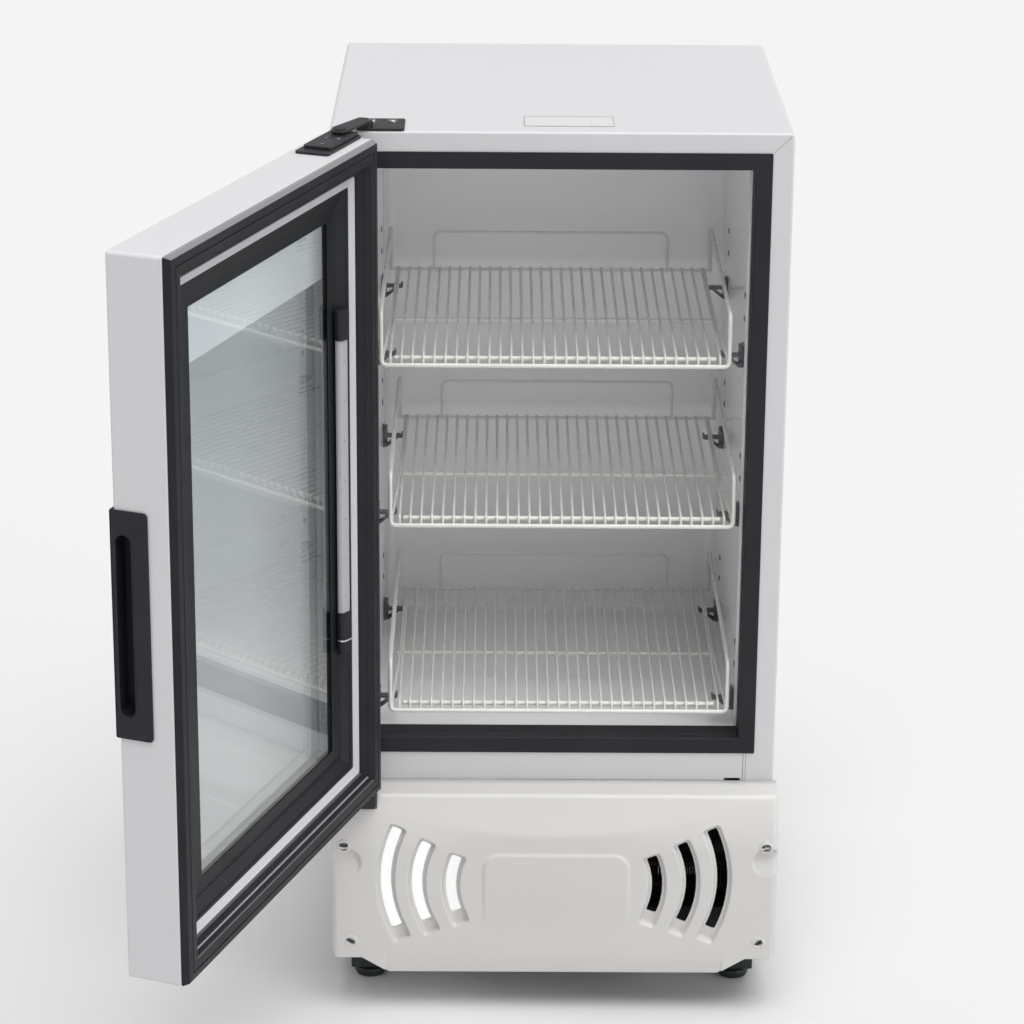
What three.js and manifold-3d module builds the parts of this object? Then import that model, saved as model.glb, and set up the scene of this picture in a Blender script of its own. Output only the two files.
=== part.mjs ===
// Compact glass-door reach-in refrigerator, built as an assembly.
// Millimetres, +Z up, front towards -Y, +X to the right seen from the front.
// Origin: centre of the flat plateau pressed into the underside of the base pan.
import * as THREE from 'three';
import Module from 'manifold-3d';

const wasm = await Module();
wasm.setup();
const { Manifold, Mesh: MMesh } = wasm;

// ---------------------------------------------------------------- dimensions
const W = 480;                 // cabinet width
const D = 434;                 // cabinet depth
const TOP = 930;               // cabinet top above the base plateau
const BOX_BOTTOM = 205;        // underside of the insulated box
const SHEET = 1.2;             // sheet metal thickness
const FY = -D / 2;             // front plane of the cabinet
const BY = D / 2;              // back plane of the cabinet
const H = W / 2;
const FLOOR = -50;             // floor under the levelling feet

const FLANGE = 31;             // front flange of the outer shell
const BRK_X = 218;             // breaker frame, outer half width
const BRK_TOP = 909;
const BRK_BOT = 235.5;
const BRK_BAR = 18;            // width of the breaker bars
const BRK_DEEP = 33;           // depth of the breaker's return

const LIN_X = 197;             // liner, inner half width
const LIN_Z0 = 251;
const LIN_Z1 = 890;
const LIN_BACK = 168;          // inner face of the liner's back wall
const LIN_T = 1.5;

const AX = -226;               // door hinge axis
const AY = FY - 40;
const OPEN = 110.72;           // door stands open by this angle at rest
const DZ0 = 207.5;             // door bottom
const DZ1 = 931.5;             // door top
const DOOR_T = 57;             // thickness of the door's outer shell
const DOOR_IN = -11;           // inner edge of the door shell, from the cabinet front

const SHELVES = [              // wire shelves: mat height and sideways offset
  { name: 'shelf_top', z: 684, dx: -4 },
  { name: 'shelf_middle', z: 504, dx: 5 },
  { name: 'shelf_bottom', z: 289, dx: 4 },
];
const SH_X = 186;              // shelf half width
const SH_Y0 = FY + 12;         // front lip of a shelf
const SH_Y1 = FY + 358;        // rear wire of a shelf
const SH_MID = FY + 160;       // middle cross wire
const PITCH = 11.6;            // spacing of the shelf wires

const GX = 243;                // front grille, half width
const GY = FY - 58;            // front face of the grille
const G_TOP = 203;
const G_SIDE = 14;             // lower edge at the sides
const G_MID = -4;              // lower edge in the middle

const SCREWS = [               // grille screws: name, x, z
  ['grille_screw_top_left', -229, 148], ['grille_screw_top_right', 230, 148],
  ['grille_screw_bottom_left', -222, 34], ['grille_screw_bottom_right', 224, 34],
];

const FOOT_X = 204, FOOT_Y = 182;

// ---------------------------------------------------------------- materials
const mat = (color, roughness, metalness, opacity = 1) => new THREE.MeshStandardMaterial({
  color: new THREE.Color(color), roughness, metalness, opacity, transparent: opacity < 1,
});
const M = {
  white: () => mat(0xd6d6d8, 0.38, 0.0),
  galv: () => mat(0xa9adb0, 0.42, 0.8),
  plastic_white: () => mat(0xd9d7d3, 0.5, 0.0),
  liner: () => mat(0xb9bbc0, 0.25, 0.0),
  black: () => mat(0x232427, 0.45, 0.0),
  rubber: () => mat(0x1b1c1f, 0.6, 0.0),
  foam: () => mat(0xe6d9a8, 0.9, 0.0),
  trim: () => mat(0xdcdde0, 0.4, 0.1),
  wire: () => mat(0xe6e4dc, 0.35, 0.0),
  clip: () => mat(0x3b3d42, 0.45, 0.0),
  glass: () => mat(0xa8b8b2, 0.05, 0.0, 0.35),
  panel: () => mat(0xe9eaec, 0.45, 0.0),
  light: () => mat(0xf4f5f8, 0.4, 0.0),
  steel_dark: () => mat(0x4a4b4f, 0.4, 0.85),
  foot: () => mat(0x1d2623, 0.5, 0.0),
  motor: () => mat(0x2a2b2d, 0.5, 0.3),
  copper: () => mat(0xb06a3a, 0.35, 0.9),
  alu: () => mat(0xb8bcc0, 0.35, 0.9),
  screw: () => mat(0x8e9093, 0.35, 0.9),
};

// ---------------------------------------------------------------- helpers
// keep positions only, join equal vertices and drop collapsed triangles
function weld(geometry) {
  const p = geometry.attributes.position.array;
  const n = p.length / 3, map = new Map(), to = new Uint32Array(n), pos = [];
  const find = (x, y, z) => {
    const c = [x, y, z].map(v => Math.floor(v * 1000));
    for (let i = -1; i <= 1; i++) for (let j = -1; j <= 1; j++) for (let k = -1; k <= 1; k++) {
      const h = map.get(`${c[0] + i},${c[1] + j},${c[2] + k}`);
      if (h !== undefined && Math.hypot(pos[3 * h] - x, pos[3 * h + 1] - y, pos[3 * h + 2] - z) < 5e-4) return h;
    }
    map.set(c.join(','), pos.length / 3);
    pos.push(x, y, z);
    return pos.length / 3 - 1;
  };
  for (let i = 0; i < n; i++) to[i] = find(p[3 * i], p[3 * i + 1], p[3 * i + 2]);
  const src = geometry.index ? geometry.index.array : Array.from({ length: n }, (_, i) => i);
  const idx = [];
  for (let i = 0; i < src.length; i += 3) {
    const a = to[src[i]], b = to[src[i + 1]], c = to[src[i + 2]];
    if (a !== b && b !== c && a !== c) idx.push(a, b, c);
  }
  const g = new THREE.BufferGeometry();
  g.setAttribute('position', new THREE.Float32BufferAttribute(pos, 3));
  g.setIndex(idx);
  return g;
}
function toM(geometry) {
  let g = weld(geometry);
  if (signedVolume(g) < 0) flip(g);
  return new Manifold(new MMesh({
    numProp: 3,
    vertProperties: new Float32Array(g.attributes.position.array),
    triVerts: new Uint32Array(g.index.array),
  }));
}
function fromM(m) {
  const r = m.getMesh();
  const g = new THREE.BufferGeometry();
  const n = r.vertProperties.length / r.numProp;
  const p = new Float32Array(n * 3);
  for (let i = 0; i < n; i++) for (let k = 0; k < 3; k++) p[3 * i + k] = r.vertProperties[i * r.numProp + k];
  g.setAttribute('position', new THREE.BufferAttribute(p, 3));
  g.setIndex(new THREE.BufferAttribute(new Uint32Array(r.triVerts), 1));
  return g;
}
const box = (x0, x1, y0, y1, z0, z1) => {
  const g = new THREE.BoxGeometry(x1 - x0, y1 - y0, z1 - z0);
  g.translate((x0 + x1) / 2, (y0 + y1) / 2, (z0 + z1) / 2);
  return g;
};
const B = (...a) => toM(box(...a));
const cylGeo = (r0, r1, z0, z1, n = 16, phase = 0) => {
  const g = new THREE.CylinderGeometry(r1, r0, z1 - z0, n);
  g.rotateX(Math.PI / 2);
  if (phase) g.rotateZ(phase);
  g.translate(0, 0, (z0 + z1) / 2);
  return g;
};
// extrude a 2D outline along Z
const prismZ = (pts, z0, z1) => {
  const s = new THREE.Shape(pts.map(p => new THREE.Vector2(p[0], p[1])));
  const g = new THREE.ExtrudeGeometry(s, { depth: z1 - z0, bevelEnabled: false });
  g.translate(0, 0, z0);
  return g;
};
// extrude an outline given in (X, Z) along Y
const prismY = (pts, y0, y1) => {
  const g = prismZ(pts, 0, y1 - y0);
  g.rotateX(Math.PI / 2);      // (x, y, z) -> (x, -z, y)
  g.translate(0, y1, 0);
  return g;
};
// extrude an outline given in (Y, Z) along X
const prismX = (pts, x0, x1) => {
  const g = prismZ(pts, 0, x1 - x0);
  g.applyMatrix4(new THREE.Matrix4().set(0, 0, 1, x0, 1, 0, 0, 0, 0, 1, 0, 0, 0, 0, 0, 1));
  return g;
};
// rectangular ring with mitred corners: profile points are [inset, y]
function ring(profile, x0, x1, z0, z1, free = 0) {
  const n = profile.length, pos = [], idx = [];
  for (const [m, y] of profile) {
    const xr = x1 - m - (m > 60 ? free : 0);
    pos.push(x0 + m, y, z0 + m, xr, y, z0 + m, xr, y, z1 - m, x0 + m, y, z1 - m);
  }
  for (let i = 0; i < n; i++) {
    const j = (i + 1) % n;
    for (let c = 0; c < 4; c++) {
      const d = (c + 1) % 4;
      const a = i * 4 + c, b = i * 4 + d, e = j * 4 + d, f = j * 4 + c;
      idx.push(a, b, e, a, e, f);
    }
  }
  const g = new THREE.BufferGeometry();
  g.setAttribute('position', new THREE.Float32BufferAttribute(pos, 3));
  g.setIndex(idx);
  if (signedVolume(g) < 0) flip(g);
  return g;
}
function flip(g) {
  const ix = Array.from(g.index.array);
  for (let i = 0; i < ix.length; i += 3) { const t = ix[i]; ix[i] = ix[i + 1]; ix[i + 1] = t; }
  g.setIndex(ix);
  return g;
}
function signedVolume(g) {
  const p = g.attributes.position.array, ix = g.index.array;
  let v = 0;
  for (let i = 0; i < ix.length; i += 3) {
    const a = 3 * ix[i], b = 3 * ix[i + 1], c = 3 * ix[i + 2];
    v += p[a] * (p[b + 1] * p[c + 2] - p[b + 2] * p[c + 1])
      - p[a + 1] * (p[b] * p[c + 2] - p[b + 2] * p[c])
      + p[a + 2] * (p[b] * p[c + 1] - p[b + 1] * p[c]);
  }
  return v / 6;
}
const union = (...ms) => Manifold.union(ms);

const root = new THREE.Group();
root.name = 'refrigerator';
const door = new THREE.Group();            // door parts are laid out closed, then swung open
door.name = 'door';
door.position.set(AX, AY, 0);
door.rotation.z = -THREE.MathUtils.degToRad(OPEN);
const doorInner = new THREE.Group();
doorInner.position.set(-AX, -AY, 0);
door.add(doorInner);
root.add(door);

function add(name, geometry, material, parent = root) {
  if (geometry.getMesh) geometry = fromM(geometry);
  const g = weld(geometry);
  if (signedVolume(g) < 0) flip(g);
  g.computeVertexNormals();
  const m = new THREE.Mesh(g, material);
  m.name = name;
  parent.add(m);
  return m;
}

// ---------------------------------------------------------------- cabinet
add('cabinet_shell',
  B(-H, H, FY, BY, 4, TOP)
    .subtract(B(-H + SHEET, H - SHEET, FY + SHEET, BY + 1, 3, TOP - SHEET))
    .subtract(B(-H + FLANGE, H - FLANGE, FY - 1, FY + SHEET + 1, 3, TOP - FLANGE)),
  M.white());

add('lower_front_rail',
  B(-H + FLANGE + 0.3, H - FLANGE - 0.3, FY, FY + SHEET, BOX_BOTTOM + 0.3, 247)
    .add(B(-H + FLANGE + 0.3, H - FLANGE - 0.3, FY, FY + 27, BOX_BOTTOM + 0.3, BOX_BOTTOM + 1.5)),
  M.white());

add('box_floor_panel',
  box(-H + 1.5, H - 1.5, FY + 27.3, BY - 1.5, BOX_BOTTOM + 0.3, BOX_BOTTOM + 1.5), M.galv());

add('back_panel',
  box(-H + 1.5, H - 1.5, BY - SHEET, BY, BOX_BOTTOM + 2, TOP - 1.5), M.galv());

// liner: open-fronted tub with coved back corners
{
  const tub = (x, back, front, z0, z1, r) => {
    const pts = [[-x, front], [x, front]];
    for (let i = 0; i <= 3; i++) {
      const a = (i / 3) * Math.PI / 2;
      pts.push([x - r + r * Math.cos(a), back - r + r * Math.sin(a)]);
    }
    for (let i = 0; i <= 3; i++) {
      const a = Math.PI / 2 + (i / 3) * Math.PI / 2;
      pts.push([-x + r + r * Math.cos(a), back - r + r * Math.sin(a)]);
    }
    return toM(prismZ(pts, z0, z1));
  };
  const front = FY + BRK_DEEP + 0.3;
  add('liner',
    tub(LIN_X + LIN_T, LIN_BACK + LIN_T, front, LIN_Z0 - LIN_T, LIN_Z1 + LIN_T, 12 + LIN_T)
      .subtract(tub(LIN_X, LIN_BACK, front - 5, LIN_Z0, LIN_Z1, 12)),
    M.liner());
}

add('breaker_frame', ring([
  [0, FY - 1.6], [BRK_BAR, FY - 1.6], [BRK_BAR, FY + BRK_DEEP], [BRK_BAR - 2, FY + BRK_DEEP],
  [BRK_BAR - 2, FY - 0.3], [0, FY - 0.3],
], -BRK_X, BRK_X, BRK_BOT, BRK_TOP), M.black());

add('insulation_foam',
  B(-H + 1.5, H - 1.5, FY + 1.5, BY - 1.5, BOX_BOTTOM + 1.8, TOP - 1.5)
    .subtract(B(-BRK_X + BRK_BAR - 2 - 0.3, BRK_X - BRK_BAR + 2 + 0.3, FY, LIN_BACK + LIN_T + 0.3, LIN_Z0 - LIN_T - 0.3, 893.3))
    .subtract(B(-151, 151, LIN_BACK, LIN_BACK + LIN_T + 8, 330, 800)),
  M.foam());

{
  let ev = B(-150, 150, LIN_BACK + LIN_T + 0.4, LIN_BACK + LIN_T + 2.4, 331, 799);
  for (let i = 0; i < 6; i++) ev = ev.add(B(-140, 140, LIN_BACK + LIN_T + 2, LIN_BACK + LIN_T + 6.5, 370 + 76 * i, 378 + 76 * i));
  add('evaporator_plate', ev, M.alu());
}

// base pan with a pressed plateau and the four foot sockets
{
  let pan = B(-H + 1.5, H - 1.5, FY + 4, BY - 2, 3.5, 5)
    .add(B(-150, 150, -120, 150, 0, 5))
    .subtract(B(-148.5, 148.5, -118.5, 148.5, 1.5, 6));
  for (const sx of [-1, 1]) for (const sy of [-1, 1]) {
    const x = sx * FOOT_X, y = sy * FOOT_Y;
    pan = pan.add(B(x - 21, x + 21, y - 21, y + 21, -36, 4));
  }
  for (const sx of [-1, 1]) for (const sy of [-1, 1]) {
    pan = pan.subtract(toM(cylGeo(4.6, 4.6, -37, -6, 16).translate(sx * FOOT_X, sy * FOOT_Y, 0)));
  }
  add('base_pan', pan, M.galv());
}

const footNames = { '-1-1': 'foot_front_left', '1-1': 'foot_front_right', '-11': 'foot_rear_left', '11': 'foot_rear_right' };
for (const sx of [-1, 1]) for (const sy of [-1, 1]) {
  const pts = [[0, FLOOR], [15.5, FLOOR], [18, FLOOR + 4], [18, FLOOR + 9], [13, -36.5], [4, -36.5], [4, -9], [0, -9]]
    .map(p => new THREE.Vector2(p[0], p[1]));
  const g = new THREE.LatheGeometry(pts, 16);
  g.rotateX(Math.PI / 2);
  g.translate(sx * FOOT_X, sy * FOOT_Y, 0);
  add(footNames[`${sx}${sy}`], g, M.foot());
}

// ---------------------------------------------------------------- front grille
{
  const cols = [-GX, -200, -151, -100, -50, 0, 50, 100, 151, 200, GX];
  // smile line where the scooped top meets the front face
  const smile = x => Math.min(G_TOP - 2, 160.5 + 61 * Math.pow(Math.min(1, Math.abs(x) / GX), 2.2));
  // the face leans back towards the top
  const lean = z => 18 * Math.pow(Math.max(0, z - 140) / (G_TOP - 140), 2);
  const loft = (off, xs, back, low) => {
    const pos = [], idx = [], n = 7, k = xs.length;
    for (const x of xs) {
      const zs = smile(x);
      pos.push(x, back, G_TOP - off, x, FY - 40 + off * 0.8, G_TOP - off, x, GY + off + lean(zs), zs - off * 0.6);
      const zh = (140 + zs) / 2;
      pos.push(x, GY + off + lean(zh), zh, x, GY + off, 140, x, GY + off, low, x, back, low);
    }
    for (let i = 0; i < k - 1; i++) for (let j = 0; j < n; j++) {
      const a = i * n + j, b = i * n + (j + 1) % n, c = (i + 1) * n + (j + 1) % n, d = (i + 1) * n + j;
      idx.push(a, b, c, a, c, d);
    }
    for (let j = 1; j < n - 1; j++) {
      idx.push(0, j + 1, j);
      const e = (k - 1) * n;
      idx.push(e, e + j, e + j + 1);
    }
    const g = new THREE.BufferGeometry();
    g.setAttribute('position', new THREE.Float32BufferAttribute(pos, 3));
    g.setIndex(idx);
    return toM(g);
  };
  const inner = cols.map((x, i) => (i === 0 ? -GX + 3 : i === cols.length - 1 ? GX - 3 : x));
  let g = loft(0, cols, FY - 0.5, G_MID).subtract(loft(3, inner, FY + 2, G_MID - 5));
  // lower corners step up around the feet, with sloping sides
  for (const s of [-1, 1]) {
    const pts = [[s * 260, G_MID - 2], [s * 178, G_MID - 2], [s * 180, G_MID], [s * 210, G_SIDE], [s * 260, G_SIDE]];
    if (s < 0) pts.reverse();
    g = g.subtract(toM(prismY(pts, GY - 5, FY + 5)));
  }
  // curved air slots
  const slot = (side, xe, xm, z0, z1) => {
    const zm = (z0 + z1) / 2, c = (z1 - z0) / 2, s = xm - xe;
    const R = (c * c + s * s) / (2 * s), cx = xm - R, a1 = Math.asin(c / R), hw = 5.6;
    const outer = [], innerp = [];
    const N = 6;
    for (let i = 0; i <= N; i++) {
      const a = -a1 + 2 * a1 * i / N;
      outer.push([side * (cx + (R + hw) * Math.cos(a)), zm + (R + hw) * Math.sin(a)]);
      innerp.push([side * (cx + (R - hw) * Math.cos(a)), zm + (R - hw) * Math.sin(a)]);
    }
    // nearly square ends with clipped corners
    const end = (a, e) => {
      const tx = -Math.sin(a) * e, tz = Math.cos(a) * e, nx = Math.cos(a), nz = Math.sin(a);
      const px = cx + R * Math.cos(a), pz = zm + R * Math.sin(a);
      return [[0.6, 3.2], [-0.6, 3.2]].map(([k, q]) => [side * (px + nx * hw * k + tx * q), pz + nz * hw * k + tz * q]);
    };
    const pts = [...outer, ...end(a1, 1), ...innerp.reverse(), ...end(-a1, -1).reverse()];
    if (side < 0) pts.reverse();
    return toM(prismY(pts, GY - 2, GY + 10));
  };
  for (const s of [-1, 1]) {
    g = g.subtract(slot(s, 172, 183.5, 52, 163));
    g = g.subtract(slot(s, 140, 149.5, 60, 147));
    g = g.subtract(slot(s, 107, 112.5, 71, 131));
  }
  // recess at the top left for the lower door hinge
  g = g.subtract(B(-GX - 2, -193, GY - 2, FY + 2, 188, G_TOP + 2));
  g = g.add(B(-GX, -193 + 1, GY + 13, FY - 0.5, 185.5, 188));
  g = g.add(B(-194, -191, GY + 19, FY - 0.5, 186, G_TOP - 0.5));
  for (const [, x, z] of SCREWS) {
    const rod = (r, y0, y1) => toM(cylGeo(r, r, -y1, -y0, 10).rotateX(Math.PI / 2).translate(x, 0, z));
    g = g.add(rod(8, GY + 1, GY + 8)).subtract(rod(5.2, GY - 2, GY + 4.7));
  }
  add('front_grille', g, M.plastic_white());
}

// grille screws, one near each corner, sunk in moulded bosses
{
  const pts = [[0, 0], [2, 0], [4.2, 1.6], [4.2, 2.4], [0, 2.4]].map(p => new THREE.Vector2(p[0], p[1]));
  for (const [name, x, z] of SCREWS) {
    const g = new THREE.LatheGeometry(pts, 10);
    g.rotateZ(Math.PI);
    g.translate(x, GY + 4.4, z);
    add(name, g, M.screw());
  }
}

// ---------------------------------------------------------------- machine compartment
{
  // compressor: pot on a foot plate
  const pot = new THREE.LatheGeometry(
    [[0, 12], [52, 12], [68, 22], [72, 40], [72, 100], [70, 104], [70, 128], [52, 150], [20, 157], [0, 157]]
      .map(p => new THREE.Vector2(p[0], p[1])), 16);
  pot.rotateX(Math.PI / 2);
  pot.scale(1, 0.9, 1);
  pot.translate(10, 120, 0);
  add('compressor', toM(pot).add(B(-80, 100, 60, 180, 9, 14)), M.motor());
}
{
  // condenser: finned block on tubes
  let c = B(48, 52, -195, -160, 20, 184).add(B(204, 208, -195, -160, 20, 184));
  for (let i = 0; i < 3; i++) c = c.add(B(50, 206, -180.5, -174.5, 45 + 50 * i, 51 + 50 * i));
  for (let i = 1; i < 10; i++) c = c.add(B(50 + i * 15.5, 51.2 + i * 15.5, -194, -161, 24, 180));
  add('condenser', c, M.copper());
}
{
  const hole = toM(cylGeo(63, 63, -10, 10, 20).rotateX(Math.PI / 2).translate(128, -148, 102));
  add('fan_shroud', B(48, 208, -152, -148, 20, 184).subtract(hole)
    .add(B(48, 52, -158, -150, 20, 184)).add(B(204, 208, -158, -150, 20, 184)), M.galv());
}
{
  // fan motor on a three-legged bracket behind the shroud
  const body = toM(cylGeo(27, 27, -118, -82, 14).rotateX(-Math.PI / 2).translate(128, 0, 102));
  let m = body;
  m = m.add(B(124, 132, -118, -110, 102, 178)).add(B(124, 132, -147.6, -110, 172, 180));
  m = m.add(B(124, 132, -118, -110, 26, 102)).add(B(124, 132, -147.6, -110, 24, 32));
  add('fan_motor', m, M.motor());
}
{
  const hub = toM(cylGeo(16, 16, 122, 140, 14).rotateX(Math.PI / 2));
  let f = hub;
  for (let i = 0; i < 5; i++) {
    const b = box(12, 56, -1, 1, -14, 14);
    b.rotateX(0.55);
    b.rotateY(i * 2 * Math.PI / 5);
    b.translate(0, -131, 0);
    f = f.add(toM(b));
  }
  f = f.translate(128, 0, 102);
  add('condenser_fan', f, M.alu());
}
{
  // refrigerant line: discharge tube from the pot to the condenser
  const path = new THREE.CatmullRomCurve3([
    [84.5, 120, 96], [104, 118, 100], [150, 96, 118], [196, 40, 134], [222, -40, 140], [226, -120, 128], [226, -160, 108], [221, -176.5, 101.4], [214, -177.5, 101], [208.6, -177.5, 101],
  ].map(p => new THREE.Vector3(...p)));
  const s = new THREE.Shape();
  const n = 7, r = 3.2;
  for (let i = 0; i < n; i++) {
    const a = 2 * Math.PI * i / n;
    if (i === 0) s.moveTo(r * Math.cos(a), r * Math.sin(a)); else s.lineTo(r * Math.cos(a), r * Math.sin(a));
  }
  s.closePath();
  add('refrigerant_line', new THREE.ExtrudeGeometry(s, { steps: 30, bevelEnabled: false, extrudePath: path }), M.copper());
}
add('drain_tray',
  B(-205, -85, -190, 40, 6, 46).subtract(B(-202, -88, -187, 37, 9, 50)), M.plastic_white());
add('thermostat_box',
  B(-200, -120, 150, 205, 110, 175).subtract(toM(cylGeo(3.6, 3.6, 190, 210, 12).rotateX(-Math.PI / 2).translate(-160, 0, 142))), M.black());
{
  const pts = [[0, 198], [3, 198], [3, 205.6], [15, 205.6], [15, 214], [12, 216], [0, 216]].map(p => new THREE.Vector2(p[0], p[1]));
  const g = new THREE.LatheGeometry(pts, 16);
  add('thermostat_knob', toM(g.translate(-160, 0, 142)).add(B(-161.2, -158.8, 210, 218, 143, 156)), M.black());
}
{
  // power inlet gland in a small plate at the rear
  const plate = B(150, 210, 205, 207, 5.3, 60);
  const g = toM(cylGeo(11, 11, 200, 214, 12).rotateX(-Math.PI / 2).translate(180, 0, 36));
  const hole = toM(cylGeo(4.5, 4.5, 195, 220, 12).rotateX(-Math.PI / 2).translate(180, 0, 36));
  add('power_gland', plate.add(g).subtract(hole), M.black());
}

// ---------------------------------------------------------------- hinges on the cabinet
{
  const z0 = TOP + 0.3;
  let b = B(-212, -160, FY + 2, FY + 52, z0, z0 + 5);
  b = b.add(toM(prismZ([[-212, FY + 2], [-196, FY + 2], [-196, FY + 22], [-212, FY + 22]], z0, 943)));
  const arm = [[-196, FY + 22], [-212, FY + 22], [-237, AY + 4], [-236, AY - 6], [-230, AY - 12], [-221, AY - 12], [-214, AY - 5], [-196, FY - 4]];
  b = b.add(toM(prismZ(arm.reverse(), 938.2, 943)));
  b = b.add(toM(cylGeo(5, 5, 933.5, 940, 16).translate(AX, AY, 0)));
  add('top_hinge_bracket', b, M.steel_dark());
}
{
  let b = B(-238, -196, AY - 10, FY - 0.3, 198, 203);
  b = b.add(B(-238, -196, FY - 3.3, FY - 0.3, 189, 203));
  b = b.add(B(-238, -196, AY - 10, AY - 7.4, 189.2, 203));
  b = b.add(toM(cylGeo(5, 5, 200, 207, 16).translate(AX, AY, 0)));
  add('bottom_hinge_bracket', b, M.steel_dark());
}

// ---------------------------------------------------------------- shelf clips and shelves
for (const s of SHELVES) {
  for (const [tag, sx, y] of [['front_left', -1, FY + 45], ['front_right', 1, FY + 45], ['rear_left', -1, FY + 302], ['rear_right', 1, FY + 302]]) {
    const pts = [[196.6, -18], [192, -18], [176, -8], [176, -4.6], [193, -4.6], [193, 7], [196.6, 7]]
      .map(p => [sx * p[0], s.z + p[1]]);
    if (sx < 0) pts.reverse();
    add(`${s.name}_clip_${tag}`, prismY(pts.reverse(), y - 9, y + 9), M.clip());
  }
}
for (const s of SHELVES) {
  const x0 = s.dx - SH_X, x1 = s.dx + SH_X, t = 1.5, z = s.z;
  // welded mat: a perimeter with long bars
  const n = Math.floor((x1 - x0 - 20) / PITCH);
  const start = (x0 + x1) / 2 - (n * PITCH) / 2;
  const gaps = [];
  for (let i = 0; i < n; i++) {
    const a = start + i * PITCH + 1.4, b = start + (i + 1) * PITCH - 1.4;
    gaps.push(B(a, b, SH_Y0 + 8, SH_MID - 2, z - 9, z + 9), B(a, b, SH_MID + 2, SH_Y1 - 4, z - 9, z + 9));
  }
  let m = B(x0 + 6, x1 - 6, SH_Y0 + 4, SH_Y1, z - t, z + t).subtract(union(...gaps));
  const w = 2.4;
  // front lip, set lower than the mat, with corner posts up to the side guards
  m = m.add(B(x0, x1, SH_Y0 - w, SH_Y0 + w, z - 12, z - 7.2));
  for (const [a, b] of [[x0, x0 + 2 * w], [x1 - 2 * w, x1]]) {
    m = m.add(B(a, b, SH_Y0 - w, SH_Y0 + w, z - 12, z + 50));
    m = m.add(B(a, b, SH_Y0 - w, SH_Y1, z + 45.6, z + 50));
    m = m.add(B(a, b, SH_Y1 - 4, SH_Y1, z - t, z + 50));
  }
  m = m.add(B(x0, x1, SH_Y1 - 4, SH_Y1, z - t, z + t));
  m = m.add(B(x0 + 1, x0 + 10, SH_Y0 + 4, SH_Y0 + 8, z - t, z + t)).add(B(x1 - 10, x1 - 1, SH_Y0 + 4, SH_Y0 + 8, z - t, z + t));
  m = m.add(B(x0 + 1, x0 + 2 * w, SH_Y0, SH_Y0 + 8, z - t, z + t)).add(B(x1 - 2 * w, x1 - 1, SH_Y0, SH_Y0 + 8, z - t, z + t));
  // rear guard loop
  const rx = 136;
  m = m.add(B(s.dx - rx, s.dx - rx + 3, SH_Y1 - 3, SH_Y1, z, z + 44))
    .add(B(s.dx + rx - 3, s.dx + rx, SH_Y1 - 3, SH_Y1, z, z + 44))
    .add(B(s.dx - rx, s.dx + rx, SH_Y1 - 3, SH_Y1, z + 41, z + 44));
  add(s.name, m, M.wire());
}

// ---------------------------------------------------------------- door (laid out closed)
const dy = v => FY + v;                       // distance in front of the cabinet is negative
const dring = (p, free) => ring(p.map(([m, y]) => [m, dy(y)]), -H, H, DZ0, DZ1, free);
const OUT = DOOR_IN - DOOR_T;                 // outer face of the door
{
  let f = toM(dring([[0, OUT], [0, DOOR_IN - 0.3], [25.7, DOOR_IN - 0.3], [25.7, -20], [38.1, -20], [38.1, -49.9], [62, -49.9], [62, -52], [44, OUT]]));
  // mortise for the handle's finger cup
  f = f.subtract(B(H - 19.3, H + 2, dy(-66.8), dy(-45.2), 478.2, 666.8));
  add('door_frame', f, M.white(), doorInner);
}
add('door_inner_frame', dring([[42, -19.9], [72.7, -29.9], [72.7, -30.7], [49.6, -30.7], [49.6, -49.6], [38.4, -49.6], [38.4, -22.3], [42, -22.3]], 16), M.black(), doorInner);
add('door_gasket', dring([[1, DOOR_IN], [1, -6], [4, -3], [24, -3], [28, -6], [32, -11], [32, -17], [26, -17], [26, DOOR_IN]]), M.rubber(), doorInner);
add('door_trim_strip', dring([[32.3, -17], [41.7, -19.6], [41.7, -22], [38.4, -22], [38.4, -19.7], [32.3, -19.7]]), M.trim(), doorInner);
const pane = (m, y0, y1) => box(-H + m, H - m, dy(y0), dy(y1), DZ0 + m, DZ1 - m);
add('inner_glass', pane(50, -35, -31), M.glass(), doorInner);
add('outer_glass', pane(50, -49.6, -45.6), M.glass(), doorInner);
add('glass_spacer', dring([[62, -35.3], [62, -45.3], [73.5, -45.3], [73.5, -35.3]]), M.alu(), doorInner);
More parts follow.
